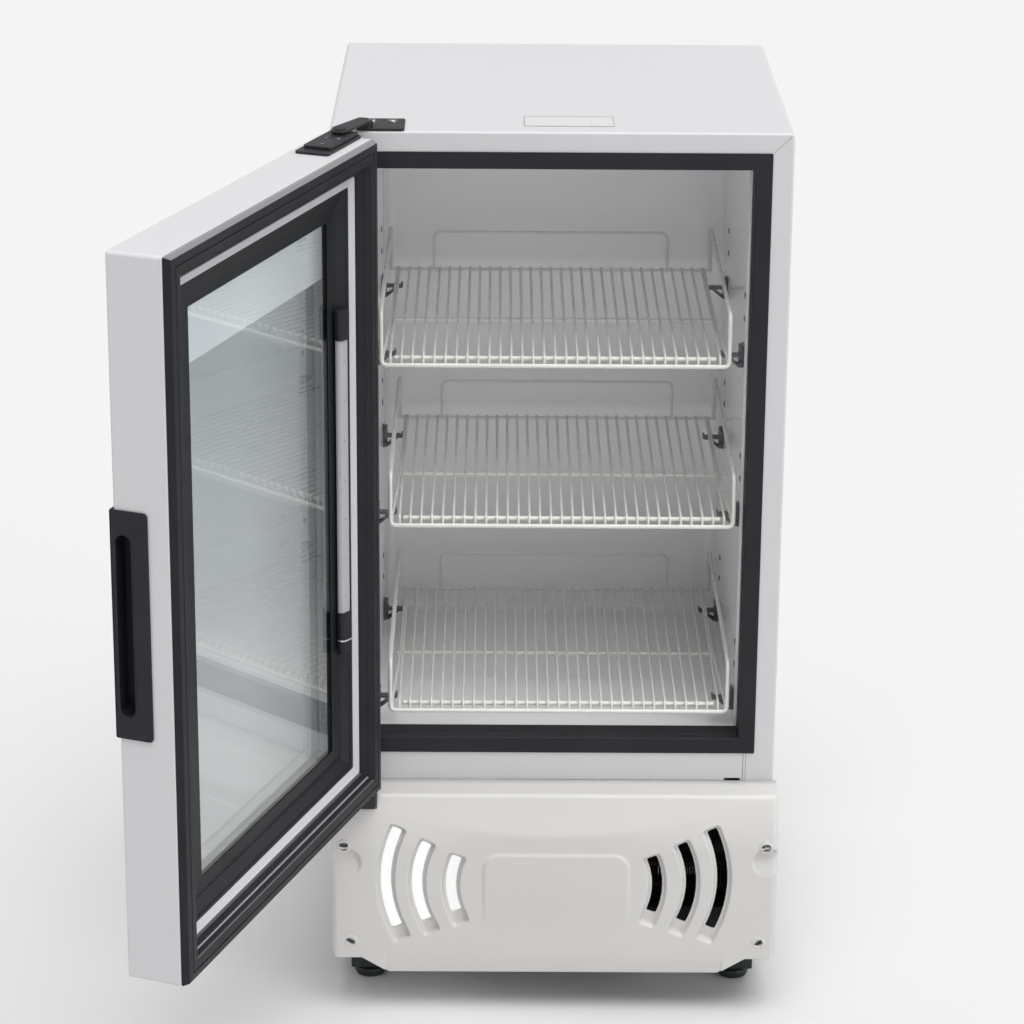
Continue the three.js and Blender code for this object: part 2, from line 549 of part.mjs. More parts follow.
add('header_panel', box(-H + 74, H - 74, dy(-37.3), dy(-35.3), DZ1 - 131, DZ1 - 74), M.panel(), doorInner);
{
  // light strip along the hinge-side slope of the inner frame
  const ux = 0.9508, uy = -0.3097, nx = 0.3097, ny = 0.9508;
  const quad = (s0, s1, n0, n1) => {
    const P = (s, n) => [-H + 42 + ux * s + nx * n, dy(-19.9 + uy * s + ny * n)];
    return [P(s0, n0), P(s1, n0), P(s1, n1), P(s0, n1)].reverse();
  };
  add('led_strip', prismZ(quad(7.5, 22.5, 0.4, 6.4), 430.3, 732.7), M.light(), doorInner);
  add('led_cap_top', prismZ(quad(6.5, 23.5, 0.4, 8.4), 733, 766), M.black(), doorInner);
  add('led_cap_bottom', prismZ(quad(6.5, 23.5, 0.4, 8.4), 388, 430), M.black(), doorInner);
}
{
  // handle: edge plate and face plate round the free corner, with a finger cup in the edge
  let h = B(H + 0.3, H + 2.3, dy(-70.6), dy(-32), 459, 686.5)
    .add(B(H - 30, H + 2.3, dy(-70.6), dy(-68.3), 459, 686.5))
    .add(B(H - 19, H + 1, dy(-66.5), dy(-45.5), 478.5, 666.5));
  const pocket = [];
  for (let i = 0; i <= 4; i++) { const a = Math.PI * i / 4; pocket.push([dy(-57) + 8.5 * Math.cos(a), 655 + 8.5 * Math.sin(a)]); }
  for (let i = 0; i <= 4; i++) { const a = Math.PI + Math.PI * i / 4; pocket.push([dy(-57) + 8.5 * Math.cos(a), 490 + 8.5 * Math.sin(a)]); }
  h = h.subtract(toM(prismX(pocket, H - 16.5, H + 5)));
  add('door_handle', h, M.black(), doorInner);
}
{
  const hole = toM(cylGeo(5.7, 5.7, 925, 945, 16).translate(AX, AY, 0));
  add('door_hinge_plate_top',
    B(-238, -152, dy(-58), dy(-21), DZ1 + 0.3, DZ1 + 2.8).add(B(-238, -164, dy(-55), dy(-24), DZ1 + 0.3, DZ1 + 6.2)).subtract(hole),
    M.steel_dark(), doorInner);
  const hole2 = toM(cylGeo(5.7, 5.7, 200, 212, 16).translate(AX, AY, 0));
  add('door_hinge_plate_bottom', B(-238, -152, dy(-58), dy(-22), 204.2, 207.2).subtract(hole2), M.steel_dark(), doorInner);
}

export default root;
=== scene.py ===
import math
import bpy
import bmesh
from mathutils import Vector, Matrix


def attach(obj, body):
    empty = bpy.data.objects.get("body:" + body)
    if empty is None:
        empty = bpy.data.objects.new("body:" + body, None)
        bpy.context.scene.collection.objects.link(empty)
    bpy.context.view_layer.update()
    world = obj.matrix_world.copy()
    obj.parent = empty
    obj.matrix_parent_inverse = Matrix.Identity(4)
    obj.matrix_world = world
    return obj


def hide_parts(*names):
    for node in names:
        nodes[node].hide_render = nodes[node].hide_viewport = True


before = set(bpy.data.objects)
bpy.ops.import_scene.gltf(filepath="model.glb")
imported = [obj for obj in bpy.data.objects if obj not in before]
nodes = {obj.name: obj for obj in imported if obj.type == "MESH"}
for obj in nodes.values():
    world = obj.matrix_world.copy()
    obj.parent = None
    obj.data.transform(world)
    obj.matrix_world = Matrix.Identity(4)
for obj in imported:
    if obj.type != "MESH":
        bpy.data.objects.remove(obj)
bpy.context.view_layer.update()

# ------------------------------------------------------------------ sizes (mm, same frame as the CAD)
W, D, TOP = 480.0, 434.0, 930.0
H, FY, BY = 240.0, -217.0, 217.0
AX, AY, OPEN = -226.0, -257.0, 110.72
DZ0, DZ1 = 207.5, 931.5
SHELVES = [("shelf_top", 684.0, -4.0), ("shelf_middle", 504.0, 5.0), ("shelf_bottom", 289.0, 4.0)]
SCREWS = [("grille_screw_top_left", -229, 148), ("grille_screw_top_right", 230, 148),
          ("grille_screw_bottom_left", -222, 34), ("grille_screw_bottom_right", 224, 34)]


# ------------------------------------------------------------------ materials
def ramp(nt, fac, a, b, lo=0.35, hi=0.65):
    n = nt.nodes.new("ShaderNodeMapRange")
    n.inputs["From Min"].default_value, n.inputs["From Max"].default_value = lo, hi
    n.inputs["To Min"].default_value, n.inputs["To Max"].default_value = a, b
    nt.links.new(fac, n.inputs["Value"])
    return n.outputs["Result"]


def noise(nt, vec, scale, detail=2.0, rough=0.5):
    n = nt.nodes.new("ShaderNodeTexNoise")
    n.inputs["Scale"].default_value = scale
    n.inputs["Detail"].default_value = detail
    n.inputs["Roughness"].default_value = rough
    nt.links.new(vec, n.inputs["Vector"])
    return n.outputs["Fac"]


def coords(nt, stretch=None):
    t = nt.nodes.new("ShaderNodeTexCoord")
    v = t.outputs["Object"]
    if stretch:
        m = nt.nodes.new("ShaderNodeMapping")
        m.inputs["Scale"].default_value = stretch
        nt.links.new(v, m.inputs["Vector"])
        v = m.outputs["Vector"]
    return v


def material(name, color, rough, metal=0.0, var=0.03, tone_scale=6.0, grain=900.0, bump=0.03, bump_mm=0.05,
             rough_var=0.05, coat=0.0, spec=0.5, stretch=None, emit=None, second=None, sheen=0.0):
    m = bpy.data.materials.new(name)
    m.use_nodes = True
    nt = m.node_tree
    b = nt.nodes["Principled BSDF"]
    v = coords(nt, stretch)
    tone = noise(nt, v, tone_scale, 3.0)
    mix = nt.nodes.new("ShaderNodeMix")
    mix.data_type = "RGBA"
    lo = [max(0.0, c * (1 - var)) for c in color]
    hi = [min(1.0, c * (1 + var)) for c in (second or color)]
    mix.inputs["A"].default_value = (*lo, 1)
    mix.inputs["B"].default_value = (*hi, 1)
    nt.links.new(ramp(nt, tone, 0.0, 1.0), mix.inputs["Factor"])
    nt.links.new(mix.outputs["Result"], b.inputs["Base Color"])
    fine = noise(nt, v, grain, 2.0)
    nt.links.new(ramp(nt, fine, max(0.02, rough - rough_var), min(1, rough + rough_var)), b.inputs["Roughness"])
    bp = nt.nodes.new("ShaderNodeBump")
    bp.inputs["Strength"].default_value = bump
    bp.inputs["Distance"].default_value = bump_mm * 0.001
    nt.links.new(fine, bp.inputs["Height"])
    nt.links.new(bp.outputs["Normal"], b.inputs["Normal"])
    b.inputs["Metallic"].default_value = metal
    b.inputs["Specular IOR Level"].default_value = spec
    b.inputs["Coat Weight"].default_value = coat
    b.inputs["Coat Roughness"].default_value = 0.12
    if sheen:
        b.inputs["Sheen Weight"].default_value = sheen
    if emit:
        nt.links.new(mix.outputs["Result"], b.inputs["Emission Color"])
        b.inputs["Emission Strength"].default_value = emit
    m.diffuse_color = (*color, 1)
    return m


def paint_top_highlight(m, color, lo, hi):
    """Faces that look up are painted a paler grey: a painted highlight standing in for the sky's reflection on black
    rubber.
    """
    nt = m.node_tree
    b = nt.nodes["Principled BSDF"]
    src = b.inputs["Base Color"].links[0].from_socket
    geo = nt.nodes.new("ShaderNodeNewGeometry")
    xyz = nt.nodes.new("ShaderNodeSeparateXYZ")
    nt.links.new(geo.outputs["Normal"], xyz.inputs["Vector"])
    mix = nt.nodes.new("ShaderNodeMix")
    mix.data_type = "RGBA"
    nt.links.new(src, mix.inputs["A"])
    mix.inputs["B"].default_value = (*color, 1)
    nt.links.new(ramp(nt, xyz.outputs["Z"], 0.0, 1.0, lo, hi), mix.inputs["Factor"])
    nt.links.new(mix.outputs["Result"], b.inputs["Base Color"])
    return m


def fade_along_x(m, color, lo, hi):
    """Blends to another colour along the part's own X."""
    nt = m.node_tree
    b = nt.nodes["Principled BSDF"]
    src = b.inputs["Base Color"].links[0].from_socket
    xyz = nt.nodes.new("ShaderNodeSeparateXYZ")
    nt.links.new(coords(nt), xyz.inputs["Vector"])
    mix = nt.nodes.new("ShaderNodeMix")
    mix.data_type = "RGBA"
    nt.links.new(src, mix.inputs["A"])
    mix.inputs["B"].default_value = (*color, 1)
    nt.links.new(ramp(nt, xyz.outputs["X"], 0.0, 1.0, lo, hi), mix.inputs["Factor"])
    nt.links.new(mix.outputs["Result"], b.inputs["Base Color"])
    return m


def glass_material(name, tint, top, fac, rough=0.0):
    """Thin tinted glass: clear through the face, with a Fresnel reflection. Its see-through colour is painted darker
    towards the top and towards the hinge side, as painted shade. The green cut edge is a separate material.
    """
    m = bpy.data.materials.new(name)
    m.use_nodes = True
    nt = m.node_tree
    nt.nodes.remove(nt.nodes["Principled BSDF"])
    out = nt.nodes["Material Output"]
    v = coords(nt)
    t = nt.nodes.new("ShaderNodeBsdfTransparent")
    g = nt.nodes.new("ShaderNodeBsdfGlossy")
    g.inputs["Color"].default_value = (0.92, 0.94, 0.94, 1)
    g.inputs["Roughness"].default_value = rough
    mx = nt.nodes.new("ShaderNodeMix")
    mx.data_type = "RGBA"
    mx.inputs["A"].default_value = (*tint, 1)
    mx.inputs["B"].default_value = (*top, 1)
    xyz = nt.nodes.new("ShaderNodeSeparateXYZ")
    nt.links.new(v, xyz.inputs["Vector"])
    # painted shade: the glass lets less light through towards the top
    high = ramp(nt, xyz.outputs["Z"], 0.0, 0.9, 0.30, 0.86)
    cloud = ramp(nt, noise(nt, v, 3.2, 3.0), -0.07, 0.07)
    both_ = nt.nodes.new("ShaderNodeMath")
    both_.operation = "ADD"
    both_.use_clamp = True
    nt.links.new(high, both_.inputs[0])
    nt.links.new(cloud, both_.inputs[1])
    nt.links.new(both_.outputs[0], mx.inputs["Factor"])
    ca, sa = math.cos(math.radians(-OPEN)), math.sin(math.radians(-OPEN))
    dot = nt.nodes.new("ShaderNodeVectorMath")
    dot.operation = "DOT_PRODUCT"
    nt.links.new(v, dot.inputs[0])
    dot.inputs[1].default_value = (ca, sa, 0.0)
    s0 = (AX * ca + AY * sa) / 1000.0 - AX / 1000.0          # turns it into the distance along the closed door
    # painted shade: the glass lets less light through towards the hinge side
    far = ramp(nt, dot.outputs["Value"], 0.93, 1.0, s0 - 0.11, s0 + 0.02)
    near = ramp(nt, dot.outputs["Value"], 0.70, 1.0, s0 - 0.168, s0 - 0.128)
    mm = nt.nodes.new("ShaderNodeMath")
    mm.operation = "MULTIPLY"
    nt.links.new(far, mm.inputs[0])
    nt.links.new(near, mm.inputs[1])
    sc = nt.nodes.new("ShaderNodeVectorMath")
    sc.operation = "SCALE"
    nt.links.new(mx.outputs["Result"], sc.inputs[0])
    nt.links.new(mm.outputs[0], sc.inputs["Scale"])
    nt.links.new(sc.outputs[0], t.inputs["Color"])
    fr = nt.nodes.new("ShaderNodeFresnel")
    fr.inputs["IOR"].default_value = 1.5
    mul = nt.nodes.new("ShaderNodeMath")
    mul.operation = "MULTIPLY"
    mul.use_clamp = True
    mul.inputs[1].default_value = fac
    geo = nt.nodes.new("ShaderNodeNewGeometry")
    front = nt.nodes.new("ShaderNodeMath")
    front.operation = "SUBTRACT"
    front.inputs[0].default_value = 1.0
    nt.links.new(geo.outputs["Backfacing"], front.inputs[1])
    both = nt.nodes.new("ShaderNodeMath")
    both.operation = "MULTIPLY"
    nt.links.new(fr.outputs["Fac"], both.inputs[0])
    nt.links.new(front.outputs[0], both.inputs[1])
    nt.links.new(both.outputs[0], mul.inputs[0])
    mix = nt.nodes.new("ShaderNodeMixShader")
    nt.links.new(mul.outputs[0], mix.inputs["Fac"])
    nt.links.new(t.outputs[0], mix.inputs[1])
    nt.links.new(g.outputs[0], mix.inputs[2])
    nt.links.new(mix.outputs[0], out.inputs["Surface"])
    m.diffuse_color = (*tint, 0.3)
    return m


MAT = {}
MAT["paint"] = material("white_paint", (0.605, 0.607, 0.620), 0.42, var=0.008, tone_scale=2.5, grain=700, bump=0.10, bump_mm=0.06, rough_var=0.04, coat=0.08)
MAT["seam"] = material("seam_shadow", (0.10, 0.10, 0.105), 0.7, var=0.15, tone_scale=60, grain=1200)
MAT["galv"] = material("zinc_sheet", (0.50, 0.52, 0.54), 0.42, 0.75, var=0.10, tone_scale=55, grain=160, bump=0.05, rough_var=0.09)
MAT["liner"] = material("liner_plastic", (0.90, 0.90, 0.915), 0.20, var=0.012, tone_scale=4, grain=260, bump=0.05, bump_mm=0.10, rough_var=0.03, spec=0.5)
MAT["black"] = material("black_plastic", (0.017, 0.018, 0.021), 0.42, var=0.10, tone_scale=14, grain=1500, bump=0.18, bump_mm=0.06, rough_var=0.06, spec=0.22)
MAT["rubber"] = material("gasket_rubber", (0.013, 0.0135, 0.017), 0.50, var=0.14, tone_scale=12, grain=900, bump=0.15, rough_var=0.08, sheen=0.03, spec=0.22)
# painted highlight: the rubber's up-facing faces are painted pale grey
MAT["rubber"] = paint_top_highlight(MAT["rubber"], (0.30, 0.30, 0.31), 0.86, 0.93)
MAT["trim"] = material("pale_trim", (0.545, 0.553, 0.570), 0.35, var=0.02, tone_scale=10, grain=800, bump=0.06)
MAT["wire"] = material("coated_wire", (0.74, 0.73, 0.69), 0.28, var=0.03, tone_scale=40, grain=700, bump=0.10, rough_var=0.05, coat=0.15)
MAT["clip"] = material("smoke_clip", (0.10, 0.105, 0.118), 0.22, var=0.15, tone_scale=60, grain=900, bump=0.06)
MAT["plastic"] = material("white_plastic", (0.610, 0.597, 0.580), 0.42, var=0.010, tone_scale=5, grain=1100, bump=0.16, bump_mm=0.08, rough_var=0.05)
MAT["screw"] = material("screw_steel", (0.33, 0.33, 0.34), 0.32, 0.9, var=0.12, tone_scale=300, grain=1500, bump=0.1)
MAT["screw_dark"] = material("screw_dark", (0.12, 0.12, 0.13), 0.35, 0.9, var=0.15, tone_scale=300, grain=1500, bump=0.1)
MAT["dark_steel"] = material("dark_steel", (0.026, 0.027, 0.030), 0.40, 0.15, var=0.18, tone_scale=60, grain=700, bump=0.10, rough_var=0.08, spec=0.3)
MAT["handle"] = material("handle_plastic", (0.015, 0.016, 0.021), 0.40, var=0.10, tone_scale=20, grain=1700, bump=0.22, bump_mm=0.07, rough_var=0.05, spec=0.25)
# painted light: the header panel glows, standing in for light passing through it
MAT["panel"] = material("pale_panel", (0.80, 0.81, 0.82), 0.45, var=0.01, tone_scale=8, grain=700, bump=0.03, emit=0.52)
MAT["led"] = material("light_diffuser", (0.385, 0.387, 0.400), 0.35, var=0.012, tone_scale=30, grain=900, bump=0.05, emit=0.03)
MAT["dot"] = material("diode_mark", (0.20, 0.20, 0.21), 0.5, var=0.15, tone_scale=300, grain=1500)
MAT["alu"] = material("mill_aluminium", (0.66, 0.67, 0.68), 0.36, 0.85, var=0.05, tone_scale=40, grain=500, bump=0.05, stretch=(1, 1, 12))
MAT["foot"] = material("foot_plastic", (0.012, 0.020, 0.018), 0.35, var=0.15, tone_scale=40, grain=1200, bump=0.15)
MAT["motor"] = material("compressor_paint", (0.016, 0.016, 0.018), 0.32, var=0.15, tone_scale=18, grain=350, bump=0.12, coat=0.15)
MAT["copper"] = material("copper", (0.62, 0.27, 0.14), 0.30, 0.95, var=0.18, tone_scale=35, grain=600, bump=0.06)
# painted shade: the fins are near black so the bay seen through the right slots reads as shade
MAT["condenser"] = material("condenser_metal", (0.022, 0.016, 0.014), 0.5, 0.3, var=0.3, tone_scale=60, grain=500, bump=0.15)
# painted shade: the coil tube is a darkened copy of the copper, painted further to near black past x 0.118-0.130 m
MAT["coil"] = material("coil_tube", (0.13, 0.045, 0.028), 0.42, 0.5, var=0.35, tone_scale=70, grain=500, bump=0.15)
MAT["coil"] = fade_along_x(MAT["coil"], (0.020, 0.018, 0.018), 0.118, 0.130)
# painted light: a glowing white for the sheet behind the left slots
MAT["painted_glow"] = material("painted_glow_white", (0.80, 0.80, 0.80), 0.5, var=0.01, tone_scale=8, grain=900, bump=0.05, emit=0.86)
MAT["foam"] = material("foam", (0.72, 0.62, 0.36), 0.9, var=0.10, tone_scale=30, grain=400, bump=0.6, bump_mm=0.8)
MAT["label_rim"] = material("label_rim", (0.33, 0.33, 0.34), 0.4, var=0.04, tone_scale=60, grain=900, bump=0.05)
MAT["label"] = material("blank_label", (0.645, 0.648, 0.655), 0.30, var=0.01, tone_scale=20, grain=900, bump=0.03)
MAT["glass"] = glass_material("clear_glass", (0.945, 0.953, 0.955), (0.79, 0.815, 0.822), 1.5)
MAT["edge"] = material("glass_edge", (0.33, 0.42, 0.39), 0.25, var=0.10, tone_scale=80, grain=600, bump=0.1)


# ------------------------------------------------------------------ mesh tools
def rot_door(p):
    a = -math.radians(OPEN)
    x, y = p[0] - AX, p[1] - AY
    return (AX + x * math.cos(a) - y * math.sin(a), AY + x * math.sin(a) + y * math.cos(a), p[2])


class Build:
    """Collects closed shells, in millimetres, into one mesh."""

    def __init__(self):
        self.v, self.f, self.m = [], [], []

    def add(self, vf, mi=0, move=(0, 0, 0), turn=None):
        vs, fs = vf
        o = len(self.v)
        for p in vs:
            if turn is not None:
                p = turn @ Vector(p)
            self.v.append((p[0] + move[0], p[1] + move[1], p[2] + move[2]))
        for f in fs:
            self.f.append([i + o for i in f])
            self.m.append(mi)
        return self

    def make(self, name, mats, body, replaces=(), door=False, smooth=30, weighted=True):
        vs = [rot_door(p) for p in self.v] if door else self.v
        me = bpy.data.meshes.new(name)
        me.from_pydata([(x * 0.001, y * 0.001, z * 0.001) for x, y, z in vs], [], self.f)
        me.validate(clean_customdata=False)
        for k in mats:
            me.materials.append(MAT[k])
        if len(mats) > 1 and len(me.polygons) == len(self.m):
            me.polygons.foreach_set("material_index", self.m)
        bm = bmesh.new()
        bm.from_mesh(me)
        bmesh.ops.recalc_face_normals(bm, faces=bm.faces)
        bm.to_mesh(me)
        bm.free()
        me.shade_smooth()
        me.set_sharp_from_angle(angle=math.radians(smooth))
        me.update()
        ob = bpy.data.objects.new(name, me)
        bpy.context.scene.collection.objects.link(ob)
        if weighted:
            wn = ob.modifiers.new("normals", "WEIGHTED_NORMAL")
            wn.keep_sharp = True
            wn.weight = 60
        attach(ob, body)
        if replaces:
            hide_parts(*replaces)
        return ob


def from_bm(bm):
    bm.verts.index_update()
    out = ([tuple(v.co) for v in bm.verts], [[v.index for v in f.verts] for f in bm.faces])
    bm.free()
    return out


def bevelled(vf, r, seg=2, angle=30):
    bm = bmesh.new()
    vs = [bm.verts.new(p) for p in vf[0]]
    for f in vf[1]:
        try:
            bm.faces.new([vs[i] for i in f])
        except ValueError:
            pass
    bmesh.ops.recalc_face_normals(bm, faces=bm.faces)
    ed = [e for e in bm.edges if len(e.link_faces) == 2 and e.calc_face_angle(0) > math.radians(angle)]
    if r > 0 and ed:
        bmesh.ops.bevel(bm, geom=ed, offset=r, offset_type="OFFSET", segments=seg, profile=0.5, affect="EDGES", clamp_overlap=True)
    return from_bm(bm)


def cuboid(x0, x1, y0, y1, z0, z1):
    v = [(x, y, z) for x in (x0, x1) for y in (y0, y1) for z in (z0, z1)]
    f = [[0, 1, 3, 2], [4, 6, 7, 5], [0, 4, 5, 1], [2, 3, 7, 6], [0, 2, 6, 4], [1, 5, 7, 3]]
    return v, f


def rbox(x0, x1, y0, y1, z0, z1, r=0.6, seg=2):
    return bevelled(cuboid(x0, x1, y0, y1, z0, z1), r, seg)


def prism(pts, a0, a1, axis="Z", r=0.0, seg=2, angle=30):
    """A closed outline pushed along an axis. Outline pairs are (x,y) for Z, (x,z) for Y and (y,z) for X."""
    n = len(pts)
    put = {"Z": lambda p, a: (p[0], p[1], a), "Y": lambda p, a: (p[0], a, p[1]), "X": lambda p, a: (a, p[0], p[1])}[axis]
    v = [put(p, a0) for p in pts] + [put(p, a1) for p in pts]
    f = [list(range(n))[::-1], [n + i for i in range(n)]]
    for i in range(n):
        j = (i + 1) % n
        f.append([i, j, n + j, n + i])
    return bevelled((v, f), r, seg, angle) if r else (v, f)


def fillet(pts, radii, seg=4, closed=True):
    """Rounds the corners of a 2-D or 3-D polyline."""
    out, n = [], len(pts)
    if not hasattr(radii, "__len__"):
        radii = [radii] * n
    for i, p in enumerate(pts):
        r = radii[i]
        if r <= 0 or (not closed and i in (0, n - 1)):
            out.append(tuple(p))
            continue
        p0, p1, p2 = Vector(pts[i - 1]), Vector(p), Vector(pts[(i + 1) % n])
        a, b = (p0 - p1), (p2 - p1)
        la, lb = a.length, b.length
        a.normalize()
        b.normalize()
        c = max(-1.0, min(1.0, a.dot(b)))
        th = math.acos(c)
        if th > math.pi - 0.02:
            out.append(tuple(p))
            continue
        t = min(r / math.tan(th / 2), la * 0.49, lb * 0.49)
        q0, q1 = p1 + a * t, p1 + b * t
        rr = t * math.tan(th / 2)
        mid = (a + b).normalized()
        cen = p1 + mid * (rr / math.sin(th / 2))
        u, w = q0 - cen, q1 - cen
        om = math.pi - th
        for k in range(seg + 1):
            s = k / seg
            q = cen + (u * math.sin((1 - s) * om) + w * math.sin(s * om)) / math.sin(om)
            out.append(tuple(q))
    return out


def rounded_rect(x0, x1, z0, z1, r, seg=6):
    return fillet([(x0, z0), (x1, z0), (x1, z1), (x0, z1)], r, seg)


def lathe(profile, n=48, axis="Z", at=(0, 0, 0)):
    """Turns an outline of (radius, height) about an axis; the outline starts and ends on the axis."""
    v, f, rows = [], [], []
    for r, h in profile:
        row = []
        if r < 1e-6:
            v.append((0, 0, h))
            row = [len(v) - 1] * n
        else:
            for i in range(n):
                a = 2 * math.pi * i / n
                v.append((r * math.cos(a), r * math.sin(a), h))
                row.append(len(v) - 1)
        rows.append(row)
    for a, b in zip(rows, rows[1:]):
        for i in range(n):
            j = (i + 1) % n
            q = [a[i], a[j], b[j], b[i]]
            q = [x for k, x in enumerate(q) if x not in q[:k]]
            if len(q) > 2:
                f.append(q)
    if axis == "Y":
        v = [(x, z, -y) for x, y, z in v]
    elif axis == "X":
        v = [(z, x, y) for x, y, z in v]
    return [(x + at[0], y + at[1], z + at[2]) for x, y, z in v], f


def tube(path, r, n=10, closed=False, flat=(1.0, 1.0), dome=True):
    """A round bar along a path of 3-D points, with domed ends."""
    P = [Vector(p) for p in path]
    P = [p for i, p in enumerate(P) if i == 0 or (p - P[i - 1]).length > 1e-4]
    m = len(P)
    T = []
    for i in range(m):
        a = P[(i - 1) % m] if closed or i > 0 else P[i]
        b = P[(i + 1) % m] if closed or i < m - 1 else P[i]
        T.append((b - a).normalized())
    up = Vector((0, 0, 1)) if abs(T[0].z) < 0.9 else Vector((0, 1, 0))
    N = (up - T[0] * up.dot(T[0])).normalized()
    v, f = [], []

    def circle(c, nrm, t, rr):
        bn = t.cross(nrm)
        s = len(v)
        for k in range(n):
            a = 2 * math.pi * k / n
            v.append(tuple(c + (nrm * math.cos(a) * flat[0] + bn * math.sin(a) * flat[1]) * rr))
        return s

    rings = []
    for i in range(m):
        if i:
            N = (N - T[i] * N.dot(T[i]))
            N = N.normalized() if N.length > 1e-6 else T[i].orthogonal().normalized()
        if i == 0 and not closed and dome:
            rings.append(circle(P[0] - T[0] * r * 0.45, N, T[0], r * 0.62))
            rings.append(circle(P[0] - T[0] * r * 0.18, N, T[0], r * 0.92))
        # one ring of full radius at each path point
        rings.append(circle(P[i], N, T[i], r))
        if i == m - 1 and not closed and dome:
            rings.append(circle(P[i] + T[i] * r * 0.18, N, T[i], r * 0.92))
            rings.append(circle(P[i] + T[i] * r * 0.45, N, T[i], r * 0.62))
    for a, b in zip(rings, rings[1:]):
        for k in range(n):
            j = (k + 1) % n
            f.append([a + k, a + j, b + j, b + k])
    if closed:
        a, b = rings[-1], rings[0]
        # best match of the seam
        best = min(range(n), key=lambda s: (Vector(v[a]) - Vector(v[b + s])).length)
        for k in range(n):
            j = (k + 1) % n
            f.append([a + k, a + j, b + (j + best) % n, b + (k + best) % n])
    else:
        f.append([rings[0] + k for k in range(n)][::-1])
        f.append([rings[-1] + k for k in range(n)])
    return v, f


def rring(profile, x0, x1, z0, z1, r0=3.0, seg=6, groove=None, gd=0.5, rmin=0.35, closed=True, free=None):
    """Sweeps a closed section of (inset, y) points round a rectangle with rounded corners.
    groove: indices of section points that dip by gd at the mitres. closed False leaves out the bottom run."""
    path_n, v, f = None, [], []
    mid = seg // 2
    for pi, (m, y) in enumerate(profile):
        r = max(rmin, r0 - m)
        X0, X1, Z0, Z1 = x0 + m, x1 - m - (free(m) if free else 0), z0 + (m if closed else 0), z1 - m
        pts = []
        corners = [(X1, Z1, 0), (X0, Z1, 1), (X0, Z0, 2), (X1, Z0, 3)] if closed else [(X1, Z1, 0), (X0, Z1, 1)]
        if not closed:
            pts.append((X1, y, Z0))
        for cx, cz, q in corners:
            ox = cx - r if q in (0, 3) else cx + r
            oz = cz - r if q in (0, 1) else cz + r
            for k in range(seg + 1):
                a = math.pi / 2 * (q + k / seg)
                yy = y + (gd if groove and pi in groove and k == mid else 0)
                pts.append((ox + r * math.cos(a), yy, oz + r * math.sin(a)))
        if not closed:
            pts.append((X0, y, Z0))
        path_n = len(pts)
        v += pts
    n = len(profile)
    for i in range(n):
        j = (i + 1) % n
        for k in range(path_n if closed else path_n - 1):
            l = (k + 1) % path_n
            f.append([i * path_n + k, i * path_n + l, j * path_n + l, j * path_n + k])
    if not closed:
        f.append([i * path_n for i in range(n)])
        f.append([i * path_n + path_n - 1 for i in range(n)][::-1])
    return v, f


def screw(r=3.6, h=2.0, head="pan", axis="Z", at=(0, 0, 0), turn=0.0, n=28):
    """A cross-recess screw head, its seat at height 0."""
    bm = bmesh.new()
    prof = [(0, -0.4), (r, -0.4), (r, h * 0.25), (r * 0.92, h * 0.62), (r * 0.7, h * 0.9), (r * 0.45, h), (0, h)]
    v, f = lathe(prof, n)
    vs = [bm.verts.new(p) for p in v]
    for q in f:
        bm.faces.new([vs[i] for i in q])
    head_bm = from_bm(bm)
    bars = [cuboid(-r * 0.55, r * 0.55, -r * 0.13, r * 0.13, h * 0.42, h * 1.2), cuboid(-r * 0.13, r * 0.13, -r * 0.55, r * 0.55, h * 0.42, h * 1.2)]
    out = boolean(head_bm, bars)
    R = Matrix.Rotation(turn, 3, "Z")
    vv = [R @ Vector(p) for p in out[0]]
    if axis == "-Y":      # head faces -Y
        vv = [(p[0], -p[2], p[1]) for p in vv]
    elif axis == "Y":
        vv = [(p[0], p[2], -p[1]) for p in vv]
    elif axis == "X":
        vv = [(p[2], p[0], p[1]) for p in vv]
    elif axis == "-X":
        vv = [(-p[2], -p[0], p[1]) for p in vv]
    return [(p[0] + at[0], p[1] + at[1], p[2] + at[2]) for p in vv], out[1]


def temp_object(vf, name="tmp"):
    me = bpy.data.meshes.new(name)
    me.from_pydata([tuple(p) for p in vf[0]], [], vf[1])
    bm = bmesh.new()
    bm.from_mesh(me)
    bmesh.ops.recalc_face_normals(bm, faces=bm.faces)
    bm.to_mesh(me)
    bm.free()
    ob = bpy.data.objects.new(name, me)
    bpy.context.scene.collection.objects.link(ob)
    return ob


def boolean(vf, cutters, op="DIFFERENCE"):
    ob = temp_object(vf)
    cs = [temp_object(c, "cut") for c in cutters]
    for c in cs:
        md = ob.modifiers.new("b", "BOOLEAN")
        md.operation, md.solver, md.object = op, "EXACT", c
    dg = bpy.context.evaluated_depsgraph_get()
    dg.update()
    me = bpy.data.meshes.new_from_object(ob.evaluated_get(dg))
    out = ([tuple(v.co) for v in me.vertices], [list(p.vertices) for p in me.polygons])
    for o in [ob, *cs]:
        d = o.data
        bpy.data.objects.remove(o)
        bpy.data.meshes.remove(d)
    bpy.data.meshes.remove(me)
    return out


# ------------------------------------------------------------------ cabinet skin
sec = fillet([(31, FY), (0, FY), (0, BY), (1.2, BY), (1.2, FY + 1.2), (31, FY + 1.2)], [0.4, 2.6, 0.5, 0.3, 1.2, 0.3], 5)
front_pts = [i for i, p in enumerate(sec) if abs(p[1] - FY) < 0.9]
b = Build()
b.add(rring(sec, -H, H, 4, TOP, r0=5.0, seg=8, groove=front_pts, gd=0.7, closed=False))
# folded side returns at the bottom of the machine bay
b.add(rbox(-H + 1.2, -H + 13, FY + 8, BY - 3, 4, 5.2, 0.3))
b.add(rbox(H - 13, H - 1.2, FY + 8, BY - 3, 4, 5.2, 0.3))
b.make("cabinet_skin", ["paint"], "cabinet", ["cabinet_shell"], smooth=40)

